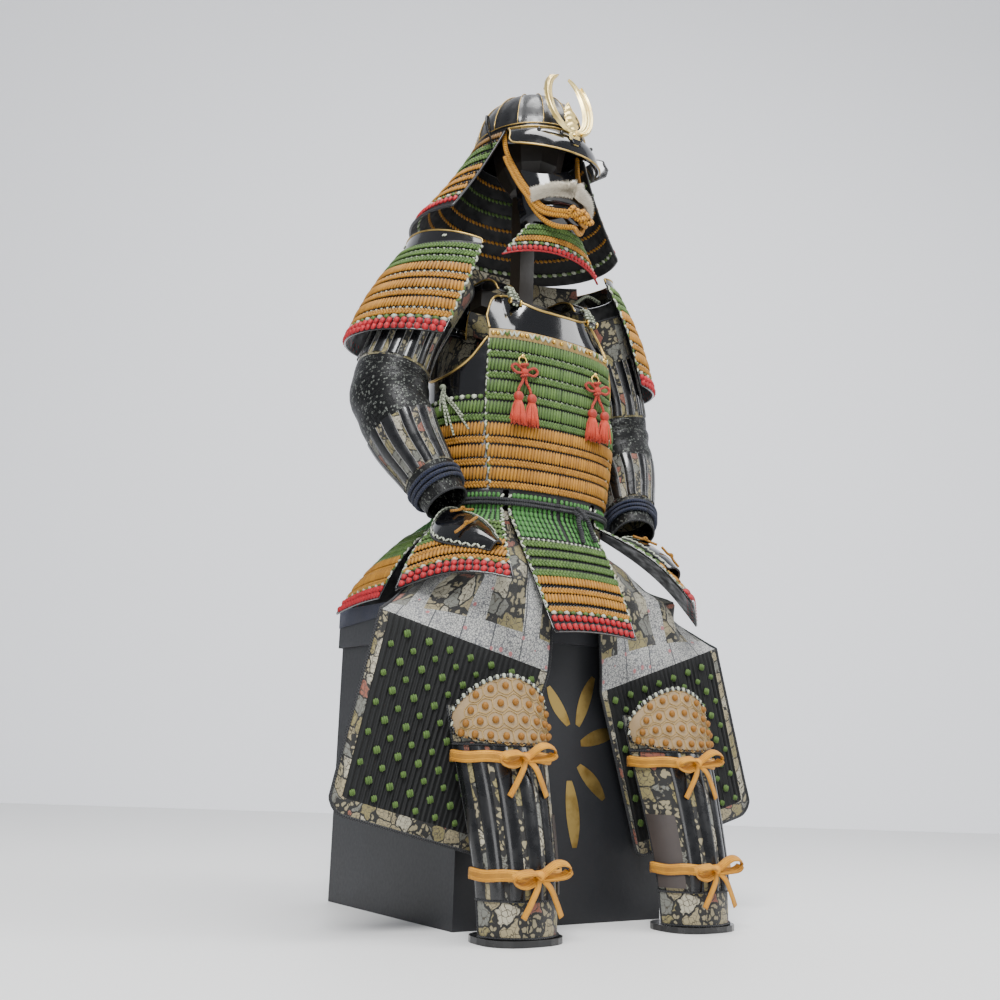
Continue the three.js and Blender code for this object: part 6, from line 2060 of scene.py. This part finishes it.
def makeSash():
    rings = []
    for turn in (0, 1):
        ring = []
        for i in range(144):
            angle = 360 * i / 144
            p = waistPoint(angle, sash["middle"] + (3.4 if turn else -3.4))
            out = fromTorso(p).normalized()
            ring.append(p + out * (sash["offset"] + 0.5
                + 0.5 * math.sin(math.radians(angle * 12 + 180 * turn))))
        rings.append(ring)
    band = tubePiece("sash_cords", rings, sash["cord"], sash["cord"], 10, finishes["blackCord"],
        ridge=0.08, closed=True)
    x, z = sash["knot"]
    y = waist["front"] - sash["offset"] - 8
    ways = []
    for k, turn in ((0, 0), (1, 55), (2, 115)):
        ways.append([Vector((x + 11 * cosD(a) * cosD(turn) - 5 * sinD(a) * sinD(turn),
            y + 5 * sinD(a + turn) - k, z + 11 * cosD(a) * sinD(turn) * 0.8 + 5 * sinD(a)))
                     for a in range(0, 360, 15)])
    knot = tubePiece("sash_knot", ways, 8, 8, 10, finishes["blackCord"], ridge=0.08, closed=True)
    dress(joinedPieces("sash_cords", [band, knot]), None, ["sash"])
    for i, way in enumerate(sashEnds):
        line = evenly(catmull(way, 10), 2)
        piece = tubePiece("sash_end_{}".format(i + 1), [line], 8.4, 7, 10, finishes["blackCord"],
            ridge=0.08)
        dress(piece)
        declareCord(line)


# Box, lid cloth, stand and the plain gold leaf spray on the box's front
lidCloth = {"thick": 1.5, "drop": 36}


# Each gold leaf on the front of the box: turn, length, width, and where its root lies across and up
boxLeaves = ((62, 92, 25, 26, 330), (8, 84, 26, 34, 300), (-52, 80, 25, 30, 262), (-88, 112, 28, 10, 236),
    (118, 78, 22, 6, 330))


def makeBox():
    for node, finish in (("box_body", "board"), ("box_lid", "boardLid"), ("stand", "wood"),
        ("shin_base_right", "satin"),
                         ("shin_base_left", "satin")):
        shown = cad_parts[node]
        if not shown.material_slots:
            shown.data.materials.append(None)
        for held in shown.material_slots:
            held.material = finishes[finish]
    top = lid["top"] + 0.3 + lidCloth["thick"]
    edge = -lid["width"] / 2 - 0.3 - lidCloth["thick"]
    back = lid["depth"] / 2 - 1

    def point(u, v):
        y = lerp(-back, back, v)
        hang = lidCloth["drop"] * (0.2 + 0.8 * (y + back) / (2 * back))
        if u <= 3:
            return Vector((lerp(215, edge, u / 3), y, top + 0.25 * math.sin(y * 0.05) * math.sin(u * 5)))
        return Vector((edge - 0.6 * math.sin(y * 0.06) ** 2, y, top - (u - 3) * hang))
    cloth = surfacePiece("lid_cloth_indigo", point, steps(0, 3, 30) + steps(3.1, 4, 9), steps(0, 1, 40),
                         lambda p: Vector((-0.3, 0, 1)), 1.2)
    dress(cloth, finishes["indigo"], ["lid_cloth"])
    leaves = []
    for turn, long, wide, x, z in boxLeaves:
        def petal(u, v):
            half = wide * math.sin(math.pi * (0.1 + 0.82 * v)) ** 0.8 * u * 0.5
            bend = 10 * math.sin(math.pi * v * 0.5)
            run = long * v
            return Vector((x + run * cosD(turn) - (half + bend) * sinD(turn), -214.5 - 0.5,
                z + run * sinD(turn) + (half + bend) * cosD(turn)))
        leaves.append(surfacePiece("leaf", petal, steps(-1, 1, 8), steps(0, 1, 24),
            lambda p: Vector((0, -1, 0)), 0.4))
    spray = joinedPieces("box_leaf_spray", leaves)
    dress(spray, finishes["goldPaint"])


stageLook = {"floor": "#efefee", "wall": "#e9eaee", "glow": 0.42, "sky": "#dfe3ea", "skyLight": 0.42,
    "size": 14,
             "wallPlace": (3.4, 6.9), "aim": (0, -0.1, 0.85)}
# name, place, watts, width of the lamp
lamps = (("key", (-1.9, -2.2, 3.6), 210, 1.5), ("fill", (2.6, -2.4, 2.6), 60, 1.6),
         ("top", (0.3, -0.6, 4.2), 110, 2.0), ("low", (-2.2, -3.0, 1.0), 22, 1.4))


def makeStage():
    deselectAll()
    bpy.ops.mesh.primitive_plane_add(size=stageLook["size"], location=(0, 0, 0))
    floor = bpy.context.object
    floor.name = "floor"
    finish, _, shader = newFinish("matt_pale_floor", 0.55)
    shader.inputs["Base Color"].default_value = hexColour(stageLook["floor"])
    floor.data.materials.append(finish)
    deselectAll()
    bpy.ops.mesh.primitive_plane_add(size=stageLook["size"], location=(0, 0, 0))
    wall = bpy.context.object
    wall.name = "backdrop"
    for corner in wall.data.vertices:
        x, y = corner.co.x, corner.co.y
        corner.co = (x, stageLook["wallPlace"][0], y + stageLook["wallPlace"][1])
    turn = Matrix.Rotation(math.radians(camera["azimuth"]), 4, "Z")
    wall.data.transform(turn)
    plain, _, shader = newFinish("matt_pale_wall", 0.9, Emission_Strength=stageLook["glow"])
    shader.inputs["Base Color"].default_value = hexColour(stageLook["wall"])
    shader.inputs["Emission Color"].default_value = hexColour(stageLook["wall"])
    wall.data.materials.append(plain)
    world = bpy.data.worlds.new("room")
    bpy.context.scene.world = world
    world.use_nodes = True
    world.node_tree.nodes["Background"].inputs[0].default_value = hexColour(stageLook["sky"])
    world.node_tree.nodes["Background"].inputs[1].default_value = stageLook["skyLight"]
    for name, place, power, size in lamps:
        data = bpy.data.lights.new(name, "AREA")
        data.energy = power
        data.size = size
        lamp = bpy.data.objects.new(name, data)
        lamp.location = place
        lamp.rotation_euler = (Vector(stageLook["aim"]) - Vector(place)).to_track_quat("-Z", "Y").to_euler()
        bpy.context.scene.collection.objects.link(lamp)


for label, make in (("cords", makeCords), ("side tie", makeSideTie), ("sash", makeSash),
    ("straps", makeStraps),
                    ("shins", makeShins), ("box", makeBox),
                    ("cuirass", makeCuirass), ("chest", makeChest), ("skirt", makeTassets), ("thighs",
                        makeThighs),
                    ("sleeves", makeSleeves), ("hands", makeHands), ("shoulders",
                        makeShoulders), ("helmet", makeHelmet),
                    ("crest", makeCrest), ("face", makeFace), ("tassels", makeTassels), ("stage",
                        makeStage)):
    make()
    print("made", label)
